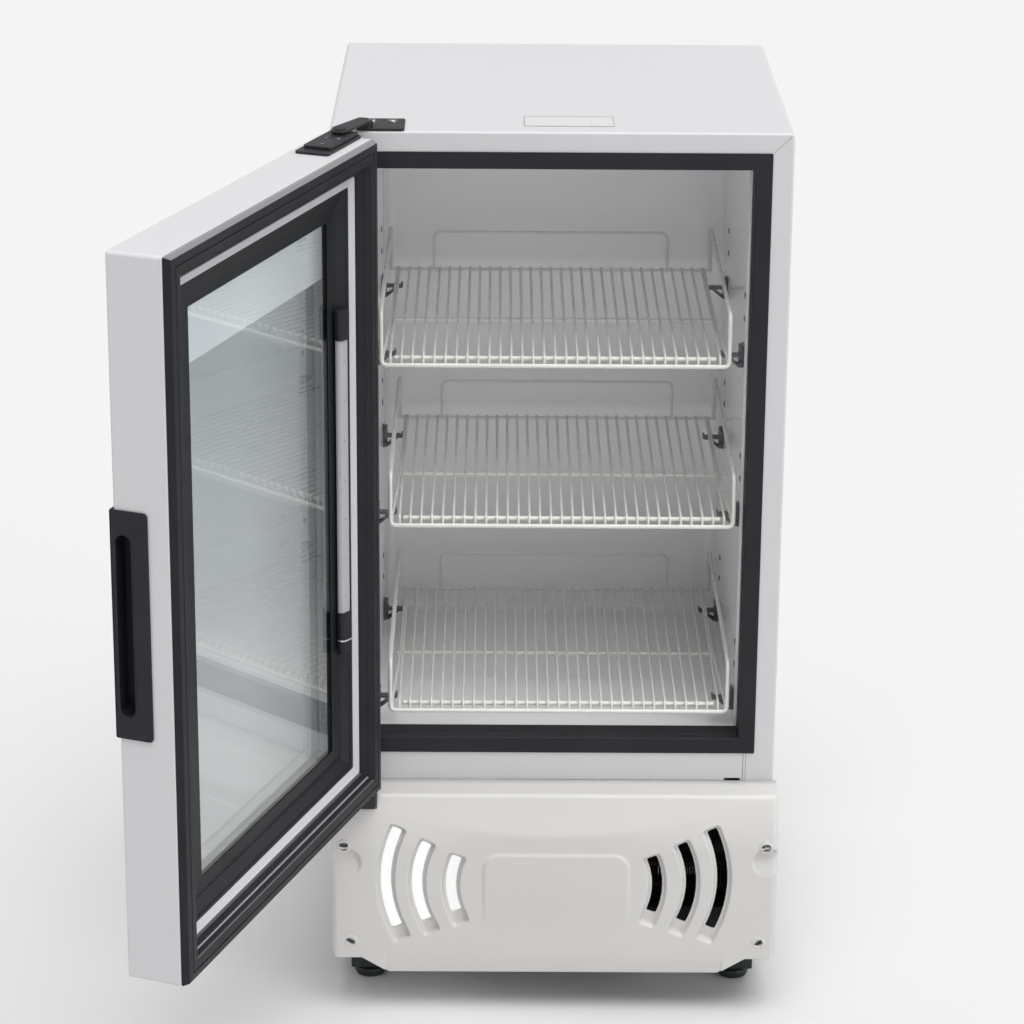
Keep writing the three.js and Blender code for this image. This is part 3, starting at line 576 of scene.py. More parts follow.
b = Build()
rx = 206.0
b.add(prism([(-H + 31.3, 203.1), (186, 203.1), (186, 205.6), (203.4, 205.6), (203.4, 203.1), (rx - 0.4, 203.1), (rx - 0.4, 246), (-H + 31.3, 246)], FY + 0.05, FY + 1.25, 'Y', 0.3, 2, 60))
b.add(rbox(rx + 0.4, H - 31.3, FY + 0.05, FY + 1.25, 203.1, 246, 0.3))
b.add(rbox(-H + 31.3, H - 31.3, FY + 1.3, FY + 27, 205.4, 206.6, 0.4))
b.add(rbox(-H + 31.3, H - 31.3, FY + 1.3, FY + 2.4, 205.4, 246, 0.3))
b.make("lower_rail", ["paint"], "cabinet", ["lower_front_rail"])

# a blank sticker on the top sheet
b = Build()
b.add(prism(rounded_rect(-39, 55, -192, -146, 2.0), TOP + 0.02, TOP + 0.22, "Z"), 1)
b.add(prism(rounded_rect(-37.9, 53.9, -189.2, -148.8, 1.6), TOP + 0.2, TOP + 0.27, "Z"), 0)
b.make("blank_label", ["label", "label_rim"], "cabinet", weighted=False)

# back panel with a pressed border
b = Build()
b.add(rbox(-H + 1.5, H - 1.5, BY - 1.3, BY - 0.4, 207, TOP - 1.5, 0.3))
b.add(prism(rounded_rect(-205, 205, 235, 900, 14), BY - 0.45, BY - 0.05, "Y", 0.35, 2, 60))
for sx in (-1, 1):
    for z in (225, 400, 570, 740, 912):
        b.add(screw(3.2, 0.42, axis="Y", at=(sx * 226, BY - 0.42, z), turn=0.3 * z), 1)
b.make("rear_panel", ["galv", "screw"], "cabinet", ["back_panel"])

b = Build()
b.add(rbox(-H + 1.5, H - 1.5, FY + 27.3, BY - 1.5, 205.3, 206.5, 0.3))
b.make("bay_ceiling", ["galv"], "cabinet", ["box_floor_panel"])

# ------------------------------------------------------------------ liner and breaker frame
bm = bmesh.new()
v, f = cuboid(-197, 197, FY + 33.3, 168, 251, 890)
vs = [bm.verts.new(p) for p in v]
for q in f:
    bm.faces.new([vs[i] for i in q])
bmesh.ops.recalc_face_normals(bm, faces=bm.faces)
front = [x for x in bm.faces if all(abs(w.co.y - (FY + 33.3)) < 0.1 for w in x.verts)]
bmesh.ops.delete(bm, geom=front, context="FACES")
ed = [e for e in bm.edges if len(e.link_faces) == 2 and (e.verts[0].co.y > 100 and e.verts[1].co.y > 100)]
bmesh.ops.bevel(bm, geom=ed, offset=15, offset_type="OFFSET", segments=8, profile=0.5, affect="EDGES")
ed = [e for e in bm.edges if len(e.link_faces) == 2 and abs(e.verts[0].co.y - e.verts[1].co.y) > 100]
ed = [e for e in ed if e.calc_face_angle(0) > 1.0]
bmesh.ops.bevel(bm, geom=ed, offset=5, offset_type="OFFSET", segments=4, profile=0.5, affect="EDGES")
b = Build()
b.add(from_bm(bm))
liner = b.make("liner_tub", ["liner"], "cabinet", ["liner"], smooth=40)
bm = bmesh.new()
bm.from_mesh(liner.data)
bmesh.ops.recalc_face_normals(bm, faces=bm.faces)
big = max(bm.faces, key=lambda q: q.calc_area())
if big.normal.dot(Vector((0, -0.02, 0.57)) - big.calc_center_median()) < 0:
    bmesh.ops.reverse_faces(bm, faces=bm.faces)
bm.to_mesh(liner.data)
bm.free()
so = liner.modifiers.new("thick", "SOLIDIFY")
so.thickness, so.offset = 0.0014, -1.0
liner.modifiers.move(1, 0)

sec = fillet([(0, FY - 1.6), (18, FY - 1.6), (18, FY + 33), (16, FY + 33), (16, FY - 0.3), (0, FY - 0.3)], [0.7, 1.2, 0.4, 0.3, 0.3, 0.3], 4)
b = Build()
b.add(rring(sec, -218, 218, 235.5, 909, r0=1.6, seg=4))
# a fine step between the face and the return
b.add(rring(fillet([(17.6, FY + 9), (18.6, FY + 9.6), (18.6, FY + 11.4), (17.6, FY + 12)], 0.3, 2), -218, 218, 235.5, 909, r0=1.0, seg=4))
b.make("opening_trim", ["black"], "cabinet", ["breaker_frame"])

# the liner's turned-out flange, seated behind the frame
b = Build()
b.add(rring(fillet([(0.4, FY + 33.05), (6.0, FY + 33.05), (6.0, FY + 34.6), (0.4, FY + 34.6)], 0.25, 2), -203, 203, 245.2, 896, r0=3.0, seg=4))
b.make("liner_flange", ["liner"], "cabinet")

# little dark domed plugs at the clip holes on the liner walls; their dark colour is partly painted shade standing in
# for the holes
b = Build()
for sx in (-1, 1):
    for s, z, dx in SHELVES:
        for y in (FY + 45, FY + 302):
            for dz in (34, 60):
                b.add(lathe([(0, 0), (3.4, 0), (3.2, 0.7), (2.0, 1.0), (0, 1.0)], 20, "X"), 0,
                      (sx * 197, y, z + dz), Matrix.Rotation(math.pi, 3, "Z") if sx > 0 else None)
b.make("liner_plugs_and_hole_shade", ["clip"], "cabinet")

# ------------------------------------------------------------------ shelf clips
for s, z, dx in SHELVES:
    for tag, sx, y in (("front_left", -1, FY + 45), ("front_right", 1, FY + 45), ("rear_left", -1, FY + 302), ("rear_right", 1, FY + 302)):
        b = Build()
        plate = prism(fillet([(y - 8, z - 19.5), (y + 8, z - 19.5), (y + 6, z + 6.5), (y - 6, z + 6.5)], [3, 3, 2, 2], 4), 194.3, 196.5, "X", 0.5, 2, 50)
        outer = [(195, 0.5), (191.5, 0.5), (190.6, -4.9), (178, -4.9), (175.6, -5.6), (174.7, -2.4), (172.6, -2.6), (172.7, -7.2), (175.5, -8.6), (178.5, -8.2), (191.4, -19.2), (195, -19.2)]
        hook = prism(fillet(outer, [0, 0.8, 1.4, 2.0, 1.4, 0.9, 0.9, 1.6, 2.0, 1.5, 1.2, 0], 3), y - 4.2, y + 4.2, "Y")
        gap = prism([(181.5, -7.9), (191.4, -7.9), (191.4, -16.2)], y - 9, y + 9, "Y")
        parts = Build()
        parts.add(plate)
        parts.add(bevelled(boolean(hook, [gap]), 0.45, 2, 55), 0, (0, 0, z))
        for dz in (1.5, -14.5):
            parts.add(rbox(191.2, 196.2, y - 9.5, y + 9.5, z + dz - 2.4, z + dz + 2.4, 1.0))
        for i, p in enumerate(parts.v):
            parts.v[i] = (sx * p[0], p[1], p[2])
        parts.make(f"{s}_hook_{tag}", ["clip"], "cabinet", [f"{s}_clip_{tag}"])

# ------------------------------------------------------------------ wire shelves
PITCH = 11.6
for s, z, dx in SHELVES:
    b = Build()
    y0, y1, ym = FY + 12.0, FY + 358.0, FY + 160.0
    x0, x1 = dx - 186, dx + 186
    n = int((x1 - x0 - 20) // PITCH)
    start = (x0 + x1) / 2 - n * PITCH / 2
    for i in range(n + 1):
        x = start + i * PITCH
        p = fillet([(x, y1 - 2, z + 0.2), (x, y0 + 3.2, z + 0.2), (x, y0 + 3.0, z - 9.2)], 2.8, 4, False)
        b.add(tube(p, 1.45, 8))
    for y, r, zz, xa, xb in ((y0 + 7.4, 2.5, z - 3.6, x0 + 16.5, x1 - 16.5), (ym, 2.2, z - 3.2, x0 + 6, x1 - 6), (y1 - 2.2, 1.9, z - 2.2, x0 + 3, x1 - 3),
                             (ym - 1.2 + 92, 1.7, z - 2.7, x0 + 7, x1 - 7)):
        if y == ym - 1.2 + 92:
            continue
        b.add(tube([(xa, y, zz), (xb, y, zz)], r, 10))
    # one heavy wire: rear left post, side rail, front post, front lip and back again
    g = 2.35
    path = fillet([(x0 + g, y1 - g, z - 2.5), (x0 + g, y1 - g, z + 47.6), (x0 + g, y0, z + 47.6), (x0 + g, y0, z - 9.6),
                   (x1 - g, y0, z - 9.6), (x1 - g, y0, z + 47.6), (x1 - g, y1 - g, z + 47.6), (x1 - g, y1 - g, z - 2.5)], [0, 9, 9, 5.5, 5.5, 9, 9, 0], 7, False)
    b.add(tube(path, g, 12))
    # rear guard loop and the outer mat wires
    loop = fillet([(dx - 134.5, y1 - 1.6, z - 1), (dx - 134.5, y1 - 1.6, z + 42.4), (dx + 134.5, y1 - 1.6, z + 42.4), (dx + 134.5, y1 - 1.6, z - 1)], [0, 8, 8, 0], 6, False)
    b.add(tube(loop, 1.5, 10))
    for sx in (-1, 1):
        x = x0 + 9.5 if sx < 0 else x1 - 9.5
        xa = x0 + g + 1.5 if sx < 0 else x1 - g - 1.5
        b.add(tube(fillet([(x, y1 - 2, z - 0.6), (x, ym - 4, z - 0.6), (xa, y0 + 2.6, z - 2.0), (xa, y0 + 1.0, z - 8.5)], [0, 24, 3, 0], 5, False), 1.7, 10))
    b.make(f"{s}_wires", ["wire"], s, [s], smooth=60)

# ------------------------------------------------------------------ front grille
GX, GYF, GT = 243.0, FY - 58.0, 203.0
HW = 5.6


def smile(x):
    return min(GT - 1.0, 160.5 + 61 * min(1.0, abs(x) / 243.0) ** 2.2)


def smooth01(t):
    t = max(0.0, min(1.0, t))
    return t * t * (3 - 2 * t)


def lean(z, x=240.0):
    return 16.1 * (max(0.0, z - 140.0) / 63.0) ** 2 * smooth01((abs(x) - 30.0) / 110.0)


SLOTS = []
for s in (-1, 1):
    for xe, xm, z0, z1 in ((172, 183.5, 52, 163), (140, 149.5, 60, 147), (107, 112.5, 71, 131)):
        zm, c, sg = (z0 + z1) / 2, (z1 - z0) / 2, xm - xe
        R = (c * c + sg * sg) / (2 * sg)
        SLOTS.append((s, xm - R, zm, R, math.asin(c / R)))


def slot_distance(x, z, tail=0.0, pad=0.0):
    """Signed distance from the edge of the nearest slot, which has nearly square ends. tail lengthens the lower end."""
    best = 1e9
    for s, cx, zm, R, a1 in SLOTS:
        px, pz = s * x - cx, z - zm
        if px < 0:
            continue
        a = math.atan2(pz, px)
        lat = abs(math.hypot(px, pz) - R)
        if abs(a) <= a1:
            along = (abs(a) - a1) * R
        else:
            e = math.copysign(a1, a)
            tx, tz = -math.sin(e) * math.copysign(1, a), math.cos(e) * math.copysign(1, a)
            along = (px - R * math.cos(e)) * tx + (pz - R * math.sin(e)) * tz
            lat = abs((px - R * math.cos(e)) * math.cos(e) + (pz - R * math.sin(e)) * math.sin(e))
        if a < 0:
            along -= tail
        r = 2.2 + pad * 0.35
        qx, qz = lat - (HW + pad) + r, along - (3.2 + pad) + r
        d = math.hypot(max(qx, 0), max(qz, 0)) + min(max(qx, qz), 0) - r
        best = min(best, d)
    return best


def rr_sd(x, z, cx, cz, hx, hz, r):
    qx, qz = abs(x - cx) - hx + r, abs(z - cz) - hz + r
    return math.hypot(max(qx, 0), max(qz, 0)) + min(max(qx, qz), 0) - r


def depth(x, z):
    """How far the moulded face sits behind the front plane, in mm."""
    sm = smile(x)
    if z > sm:                                  # scooped top
        d0 = lean(sm, x)
        d = d0 + (16.1 - d0) * min(1.0, (z - sm) / (GT - sm))
    else:
        d = lean(z, x)
    k = abs(z - sm)
    if k < 5.0:                                 # the crease is rounded
        d += 0.30 * (1 - k / 5.0) ** 2 * min(1.0, (GT - sm) / 12.0)
    sd = slot_distance(x, z, 10.5, 3.6)
    if sd < 0.8:                                # crisp recess round each slot, longer below
        d += 5.6 * smooth01((0.8 - sd) / 1.9) + 1.2 * smooth01(-sd / 4.0)
    # raised centre panel, strongest along its top edge
    pn = rr_sd(x, z, 2.1, 93.1, 79.6, 46.4, 17)
    d += 1.9 * (1 - smooth01((1.4 - pn) / 4.2) * smooth01((z - 44) / 60.0))
    for cx, cz in ((-226.5, 128.0), (232.0, 130.0)):     # round dimples, deep at the top
        e = math.hypot(x - cx, z - cz)
        d += 5.0 * smooth01((17.0 - e) / 2.6) * smooth01((z - cz + 20.0) / 30.0)
    if z < 22 and abs(x) < 185:                 # the lower edge curves back
        d += 2.2 * ((22 - z) / 26.0) ** 2
    return d


HOLES = [(-229.0, 149.0, 5.6, 2.7, 0.0), (230.2, 149.0, 5.6, 2.7, 0.12), (-222.0, 33.6, 5.8, 2.9, -0.5), (225.5, 33.6, 5.8, 2.9, 0.5)]


def inside(x, z):
    """Positive where there is material."""
    v = slot_distance(x, z)
    ax = abs(x)
    low = -4.0 if ax < 180 else (-4.0 + (ax - 180) * 18.0 / 30.0 if ax < 210 else 14.0)
    v = min(v, (z - low) * (0.86 if 180 <= ax < 210 else 1.0))
    if ax > GX - 9 and z < 23:                  # rounded lower corners
        v = min(v, 9.0 - math.hypot(ax - (GX - 9), 23 - z))
    for hx, hz, ra, rb, tilt in HOLES:
        if abs(x - hx) < 9 and abs(z - hz) < 9:
            c, s = math.cos(tilt), math.sin(tilt)
            ux_, uz_ = (x - hx) * c + (z - hz) * s, -(x - hx) * s + (z - hz) * c
            v = min(v, (math.hypot(ux_ / ra, uz_ / rb) - 1) * rb)
    if x < -180:                                # recess for the lower door hinge
        q = max(x + 193.0, 188.0 - z)
        v = min(v, q)
    return v


edge_r = 7.0
us = [("side", -1, y) for y in (FY - 0.5, FY - 14, FY - 28, FY - 42)]
na = 7
cols = []                                       # (x, extra depth from the rounded edge)
for y in (FY - 0.5, FY - 15, FY - 30, FY - 44):
    cols.append((-GX, y - GYF))
for k in range(na + 1):
    a = math.pi / 2 * k / na
    cols.append((-GX + edge_r * (1 - math.cos(a)), edge_r * (1 - math.sin(a))))
step = 1.1
nmid = int(round((2 * GX - 2 * edge_r) / step))
for k in range(1, nmid):
    cols.append((-GX + edge_r + (2 * GX - 2 * edge_r) * k / nmid, 0.0))
cols += [(-x, dd) for x, dd in reversed(cols[:4 + na + 1])]
rows = [-4.0 + 204.0 * k / 185.0 for k in range(186)]   # up to z 200
rows[-1] = 200.0
ledge = [(203.0 - 3 * (1 - math.sin(a)), 3 * (1 - math.cos(a))) for a in (math.pi / 2 * k / 4 for k in range(1, 5))]
V2, F2 = [], []
grid = []
for x, dd in cols:
    col = []
    wall = dd > edge_r + 0.01
    for z in rows:
        plain = lean(z) + 1.9
        if wall:                                # the side wall follows the lean of the face
            y = GYF + plain + edge_r + (dd - edge_r) * (57.5 - plain - edge_r) / (57.5 - edge_r)
        elif dd > 0:
            k = dd / edge_r
            y = GYF + dd + depth(x, z) * (1 - k) + plain * k
        else:
            y = GYF + depth(x, z)
        col.append((x, min(y, FY - 0.5), z))
    yl = col[-1][1]
    for zz, off in ledge:                       # the side wall stops just under the top skin
        col.append((x, min(max(yl, GYF + 18.0) + off, FY - 0.5), min(zz, 202.88) if wall else zz))
    last = col[-1][1]
    corner = 0.12 if abs(dd - edge_r) < 0.01 else 0.0
    for t in (0.3, 0.65, 1.0):
        col.append((x - math.copysign(corner, x), last + (FY - 0.1 - last) * t, 203.0))
    grid.append(col)
nr = len(grid[0])
key = {}


def vid(p, k):
    if k not in key:
        key[k] = len(V2)
        V2.append(p)
    return key[k]


def mixp(p, q, t):
    return tuple(a + (b_ - a) * t for a, b_ in zip(p, q))


val = [[inside(p[0], p[2]) for p in col] for col in grid]
for i in range(len(grid) - 1):
    for j in range(nr - 1):
        if j >= len(rows) + len(ledge) - 1 and max(cols[i][1], cols[i + 1][1]) > edge_r + 0.01:
            continue                            # the top skin ends at the corner
        cell = [(i, j), (i + 1, j), (i + 1, j + 1), (i, j + 1)]
        vv = [val[a][c] for a, c in cell]
        if all(q < 0 for q in vv):
            continue
        if all(q >= 0 for q in vv):
            F2.append([vid(grid[a][c], (a, c)) for a, c in cell])
            continue
        poly = []
        for k in range(4):
            a, c = cell[k]
            e, g_ = cell[(k + 1) % 4]
            va, vb = vv[k], vv[(k + 1) % 4]
            if va >= 0:
                poly.append(vid(grid[a][c], (a, c)))
            if (va >= 0) != (vb >= 0):
                t = va / (va - vb)
                kk = tuple(sorted(((a, c), (e, g_))))
                if kk[0] != (a, c):
                    poly.append(vid(mixp(grid[e][g_], grid[a][c], 1 - t), kk))
                else:
                    poly.append(vid(mixp(grid[a][c], grid[e][g_], t), kk))
        poly = [q for k, q in enumerate(poly) if q not in poly[:k]]
        if len(poly) > 2:
            F2.append(poly)


def face_area(f_):
    n_ = Vector((0, 0, 0))
    o_ = Vector(V2[f_[0]])
    for a_, b1 in zip(f_[1:], f_[2:]):
        n_ += (Vector(V2[a_]) - o_).cross(Vector(V2[b1]) - o_)
    return n_.length / 2


F2 = [f_ for f_ in F2 if face_area(f_) > 2e-3]
b = Build()
b.add((V2, F2))
gr = b.make("grille_moulding", ["plastic"], "cabinet", ["front_grille"], smooth=50, weighted=False)
# the grid is wound outwards throughout, so it is written again as laid out
gr.data.clear_geometry()
gr.data.from_pydata([(x * 0.001, y * 0.001, z * 0.001) for x, y, z in V2], [], F2)
gr.data.validate(clean_customdata=False)
gr.data.shade_smooth()
so = gr.modifiers.new("thick", "SOLIDIFY")
so.thickness, so.offset, so.use_even_offset = 0.0028, -1.0, False

# shelf over the hinge recess
b = Build()
b.add(rbox(-242.4, -191, GYF + 13.4, FY - 0.8, 185.4, 188.0, 0.7))
b.add(rbox(-193.6, -191, GYF + 19.0, FY - 0.8, 186, 202.4, 0.7))
b.make("grille_recess", ["plastic"], "cabinet")

for name, x, z in SCREWS:
    b = Build()
    b.add(lathe([(0, 0), (7.6, 0), (7.6, 5.4), (5.4, 6.2), (5.0, 1.6), (0, 1.6)], 32, "Y"), 1, (x, GYF + 7.2, z), Matrix.Rotation(math.pi, 3, "Z"))
    b.add(screw(4.1, 1.6, axis="-Y", at=(x, GYF + 5.4, z), turn=0.4 + x), 0)
    b.make(name + "_head", ["screw_dark", "plastic"], "cabinet", [name])

# ------------------------------------------------------------------ base pan and feet
b = Build()
b.add(rbox(-H + 1.6, H - 1.6, FY + 4, BY - 2, 3.6, 5.0, 0.4))
b.add(bevelled(cuboid(-150, 150, -120, 150, 0, 3.7), 1.3, 3))
b.make("base_tray", ["galv"], "cabinet", ["base_pan"])
b = Build()
for sx in (-1, 1):
    for sy in (-1, 1):
        x, y = sx * 204, sy * 182
        b.add(boolean(bevelled(cuboid(x - 21, x + 21, y - 21, y + 21, -36, 3.2), 2.2, 3), [lathe([(0, -40), (4.7, -40), (4.7, -8), (0, -8)], 24, "Z", (x, y, 0))]))
        for k in (-1, 1):
            b.add(rbox(x + k * 10 - 1, x + k * 10 + 1, y - 21.8, y - 20.4, -34, 1, 0.4))
b.make("foot_sockets", ["foot"], "cabinet")
for n_, sx, sy in (("foot_front_left", -1, -1), ("foot_front_right", 1, -1), ("foot_rear_left", -1, 1), ("foot_rear_right", 1, 1)):
    b = Build()
    prof = [(0, -50), (15.2, -50), (16.4, -49.4), (18, -46.4), (18, -41.6), (17.2, -40.4), (14.5, -38.6), (12.6, -36.8), (4, -36.6), (4, -9.4), (3.2, -9), (0, -9)]
    v, f = lathe(prof, 48)
    # knurled rim
    v2 = []
    for p in v:
        r = math.hypot(p[0], p[1])
        if r > 16.9:
            a = math.atan2(p[1], p[0])
            k = 1 - 0.035 * (0.5 + 0.5 * math.cos(a * 16))
            v2.append((p[0] * k, p[1] * k, p[2]))
        else:
            v2.append(p)
    b.add((v2, f), 0, (sx * 204, sy * 182, 0))
    b.make(n_ + "_pad", ["foot"], n_, [n_], smooth=35)

# ------------------------------------------------------------------ machine bay
b = Build()
pot = fillet([(0, 12), (50, 12), (68, 22), (72, 44), (72, 84), (73.6, 84), (73.6, 92), (71.6, 92), (70, 128), (52, 150), (20, 157), (0, 157)],
             [0, 6, 8, 10, 0.5, 1, 1, 0.5, 14, 16, 8, 0], 5, True)
pot[0], pot[-1] = (0, 12), (0, 157)
v, f = lathe([p for p in pot if p[0] >= 0], 64)
b.add(([(x, y * 0.9, z) for x, y, z in v], f), 0, (10, 120, 0))
b.add(prism(rounded_rect(-80, 100, 60, 180, 12), 9, 12, "Z", 0.8, 2, 60), 0)
for px in (-68, 88):
    for py in (72, 168):
        b.add(lathe([(0, 5.2), (10, 5.2), (9, 7.5), (10, 9.2), (9, 11.5), (7, 13.5), (0, 13.5)], 24, "Z", (px, py, 0)), 1)
        b.add(screw(5.0, 3.2, at=(px, py, 13.6), turn=px), 2)
b.add(rbox(78, 97, 104, 136, 52, 92, 3), 1)
b.add(tube(fillet([(60, 96, 118), (78, 92, 126), (84, 90, 132)], 4, 4, False), 4.2, 12), 3)
b.make("compressor_pot", ["motor", "rubber", "screw", "copper"], "cabinet", ["compressor"], smooth=35)

b = Build()
for k in range(53):
    x = 52.5 + k * 2.925
    b.add(cuboid(x, x + 0.5, -194, -161, 22, 182), 0)
for xa in (49, 206):
    b.add(rbox(xa, xa + 1.4, -195, -160, 20, 184, 0.4), 2)
for rown, yr in enumerate((-186, -169)):
    path = []
    for k in range(6):
        z = 34 + k * 27
        path += [(44.5, yr, z), (213, yr, z)] if k % 2 == 0 else [(213, yr, z), (44.5, yr, z)]
    b.add(tube(fillet(path, 13, 8, False), 4.0, 12), 1)
b.make("condenser_coil", ["condenser", "coil", "galv"], "cabinet", ["condenser"], smooth=45)
# foam strip that closes the gap under the coil, in black; its black face is also painted shade standing in for the dark
# seen through the lower right slots
b = Build()
b.add(rbox(46, 210, -214, -198.4, 6.4, 48, 2.0))
b.make("coil_seal_shade_strip", ["black"], "cabinet")

b = Build()
hole = lathe([(0, -14), (63, -14), (63, 14), (0, 14)], 64, "Y", (128, -150, 102))
b.add(boolean(rbox(48, 208, -151.6, -150.0, 20, 184, 0.5), [hole]))
b.add(lathe([(63.0, -2), (65.5, -2), (64.6, 0.5), (64.2, 7), (63.2, 7), (63.0, -2)], 64, "Y", (128, -150, 102)))
for xa in (48, 206.4):
    b.add(rbox(xa, xa + 1.5, -158.5, -150, 20, 184, 0.4))
for px, pz in ((56, 28), (200, 28), (56, 176), (200, 176)):
    b.add(screw(3.4, 2.0, axis="Y", at=(px, -150, pz), turn=px), 1)
b.make("fan_cowl", ["galv", "screw"], "cabinet", ["fan_shroud"])

b = Build()
b.add(lathe(fillet([(0, -118), (24, -118), (27, -114), (27, -88), (23, -82), (0, -82)], [0, 2, 2, 2, 3, 0], 4), 48, "Y", (128, 0, 102)), 0)
for k in range(14):
    a = 2 * math.pi * k / 14
    b.add(rbox(-1.0, 1.0, -112, -90, 26.4, 28.6, 0.4), 0, (128, 0, 102), Matrix.Rotation(a, 3, "Y"))
for s in (-1, 1):
    b.add(tube(fillet([(128, -114, 102 + s * 22), (128, -114, 102 + s * 75), (128, -147.6, 102 + s * 75)], 8, 5, False), 3.4, 10, flat=(1.4, 0.7)), 1)
b.make("fan_motor_case", ["motor", "galv"], "cabinet", ["fan_motor"], smooth=35)

b = Build()
b.add(lathe(fillet([(0, 122 * 0 - 140), (13, -140), (16, -137), (16, -122), (0, -122)], [0, 2, 2, 1, 0], 4), 40, "Y", (128, 0, 102)), 0)
for i in range(5):
    vs_, fs_ = [], []
    nu, nv = 9, 7
    for side in (0, 1):
        for a in range(nu):
            for c in range(nv):
                rad = 14 + 43 * a / (nu - 1)
                half = math.radians(14 + 12 * math.sin(math.pi * min(1, (a + 1) / nu) * 0.6))
                th = -half + 2 * half * c / (nv - 1)
                yy = -131 + math.tan(0.55) * rad * th * 0.8 + 1.6 * math.cos(math.pi * (c / (nv - 1) - 0.5)) + (0.8 if side else 0)
                vs_.append((rad * math.sin(th), max(-140, min(-122, yy)), rad * math.cos(th)))
    m_ = nu * nv
    for a in range(nu - 1):
        for c in range(nv - 1):
            q = [a * nv + c, a * nv + c + 1, (a + 1) * nv + c + 1, (a + 1) * nv + c]
            fs_.append(q)
            fs_.append([m_ + k for k in q][::-1])
    rim = [a * nv for a in range(nu)] + [(nu - 1) * nv + c for c in range(1, nv)] + [a * nv + nv - 1 for a in range(nu - 2, -1, -1)] + [c for c in range(nv - 2, 0, -1)]
    for k in range(len(rim)):
        p, q = rim[k], rim[(k + 1) % len(rim)]
        fs_.append([p, q, m_ + q, m_ + p])
    b.add((vs_, fs_), 0, (128, 0, 102), Matrix.Rotation(2 * math.pi * i / 5, 3, "Y"))
b.make("fan_rotor", ["alu"], "condenser_fan", ["condenser_fan"], smooth=35)

path = [(84.5, 120, 96), (104, 118, 100), (150, 96, 118), (196, 40, 134), (222, -40, 140), (226, -120, 128), (226, -160, 108), (221, -176.5, 101.4), (214, -177.5, 101), (208.6, -177.5, 101)]
pp = []
for i in range(len(path) - 1):
    p0, p1, p2, p3 = (Vector(path[max(0, min(len(path) - 1, i + k))]) for k in (-1, 0, 1, 2))
    for k in range(6):
        t = k / 6
        pp.append(0.5 * ((2 * p1) + (p2 - p0) * t + (2 * p0 - 5 * p1 + 4 * p2 - p3) * t * t + (3 * p1 - p0 - 3 * p2 + p3) * t ** 3))
pp.append(Vector(path[-1]))
b = Build()
b.add(tube(pp, 3.2, 14))
b.make("discharge_tube", ["copper"], "cabinet", ["refrigerant_line"], smooth=60)

b = Build()
tray = boolean(bevelled(cuboid(-205, -85, -190, 40, 6, 46), 5, 4, 30), [bevelled(cuboid(-202.4, -87.6, -187.4, 37.4, 8.6, 60), 4, 4, 30)])
b.add(tray)
b.add(boolean(prism(rounded_rect(-206.5, -83.5, -191.5, 41.5, 6), 43.6, 46, "Z"), [prism(rounded_rect(-202.6, -87.4, -187.6, 37.6, 4), 40, 50, "Z")]))
# white sheet behind the left slots that glows though it is no lamp: painted light
b.add(rbox(-206, -84, -215, -212.6, 6, 184, 1.0), 1)
b.make("drain_pan", ["plastic", "painted_glow"], "cabinet", ["drain_tray"])

b = Build()
b.add(rbox(-200, -120, 150, 204.6, 110, 175, 3, 3))
for pz in (118, 167):
    b.add(screw(3.0, 0.8, axis="Y", at=(-192, 204.4, pz), turn=pz), 1)
for k in range(11):
    a = math.radians(-150 + 30 * k)
    b.add(rbox(-0.4, 0.4, 0, 0.35, 17.2, 20.4, 0.1), 2, (-160, 204.6, 142), Matrix.Rotation(a, 3, "Y"))
b.make("control_box", ["black", "screw", "label"], "cabinet", ["thermostat_box"])
b = Build()
v, f = lathe(fillet([(0, 205.8), (15, 205.8), (14, 214), (11.5, 216.2), (0, 216.2)], [0, 0.6, 2, 1.5, 0], 4), 60, "Y")
v = [(x * (1 - 0.03 * (math.cos(12 * math.atan2(z, x)) > 0.2)), y, z * (1 - 0.03 * (math.cos(12 * math.atan2(z, x)) > 0.2))) for x, y, z in v]
b.add((v, f), 0, (-160, 0, 142))
b.add(lathe([(0, 198.2), (3, 198.2), (3, 206), (0, 206)], 20, "Y", (-160, 0, 142)), 0)
b.add(rbox(-161.1, -158.9, 212, 217.8, 143, 155.6, 0.6), 1)
b.make("control_knob", ["black", "label"], "thermostat_knob", ["thermostat_knob"], smooth=35)

b = Build()
b.add(prism(rounded_rect(150, 210, 5.4, 60, 4), 205, 207, "Y", 0.5, 2, 60), 0)
b.add(lathe([(4.5, 200), (11, 200), (11, 207), (10.4, 212), (9.4, 214), (4.9, 214), (4.5, 213), (4.5, 200)], 40, "Y", (180, 0, 36)), 1)
for px in (156, 204):
    b.add(screw(3.0, 1.4, axis="Y", at=(px, 207, 52), turn=px), 2)
b.make("cord_gland", ["galv", "black", "screw"], "cabinet", ["power_gland"], smooth=35)

for n_, key_ in (("insulation_foam", "foam"), ("evaporator_plate", "alu")):
    nodes[n_].data.materials.clear()
    nodes[n_].data.materials.append(MAT[key_])

# ------------------------------------------------------------------ hinges on the cabinet
z0 = TOP + 0.3
b = Build()
b.add(prism(rounded_rect(-211.6, -162, FY + 0.5, FY + 47, 3), z0, z0 + 2.4, "Z", 0.6, 2, 60), 0)
b.add(prism(fillet([(-211, FY + 1), (-197, FY + 1), (-194, FY + 10), (-198, FY + 14), (-211, FY + 14)], 3, 4), z0, 939.4, "Z", 0.8, 2, 60), 0)
arm = [(-199, FY + 12), (-209, FY + 14), (-234.5, AY + 10), (-236, AY - 5), (-230, AY - 10.5), (-222, AY - 10.5), (-217, AY - 3), (-198, FY - 3)]
b.add(prism(fillet(arm, [4, 4, 10, 6, 6, 6, 8, 6], 5), 938.9, 941.6, "Z", 0.8, 2, 60), 0)
b.add(lathe(fillet([(0, 941.2), (6.4, 941.2), (6.4, 942.2), (5.0, 943.0), (0, 943.0)], [0, 0.2, 0.3, 0.3, 0], 3), 32, "Z", (AX, AY, 0)), 1)
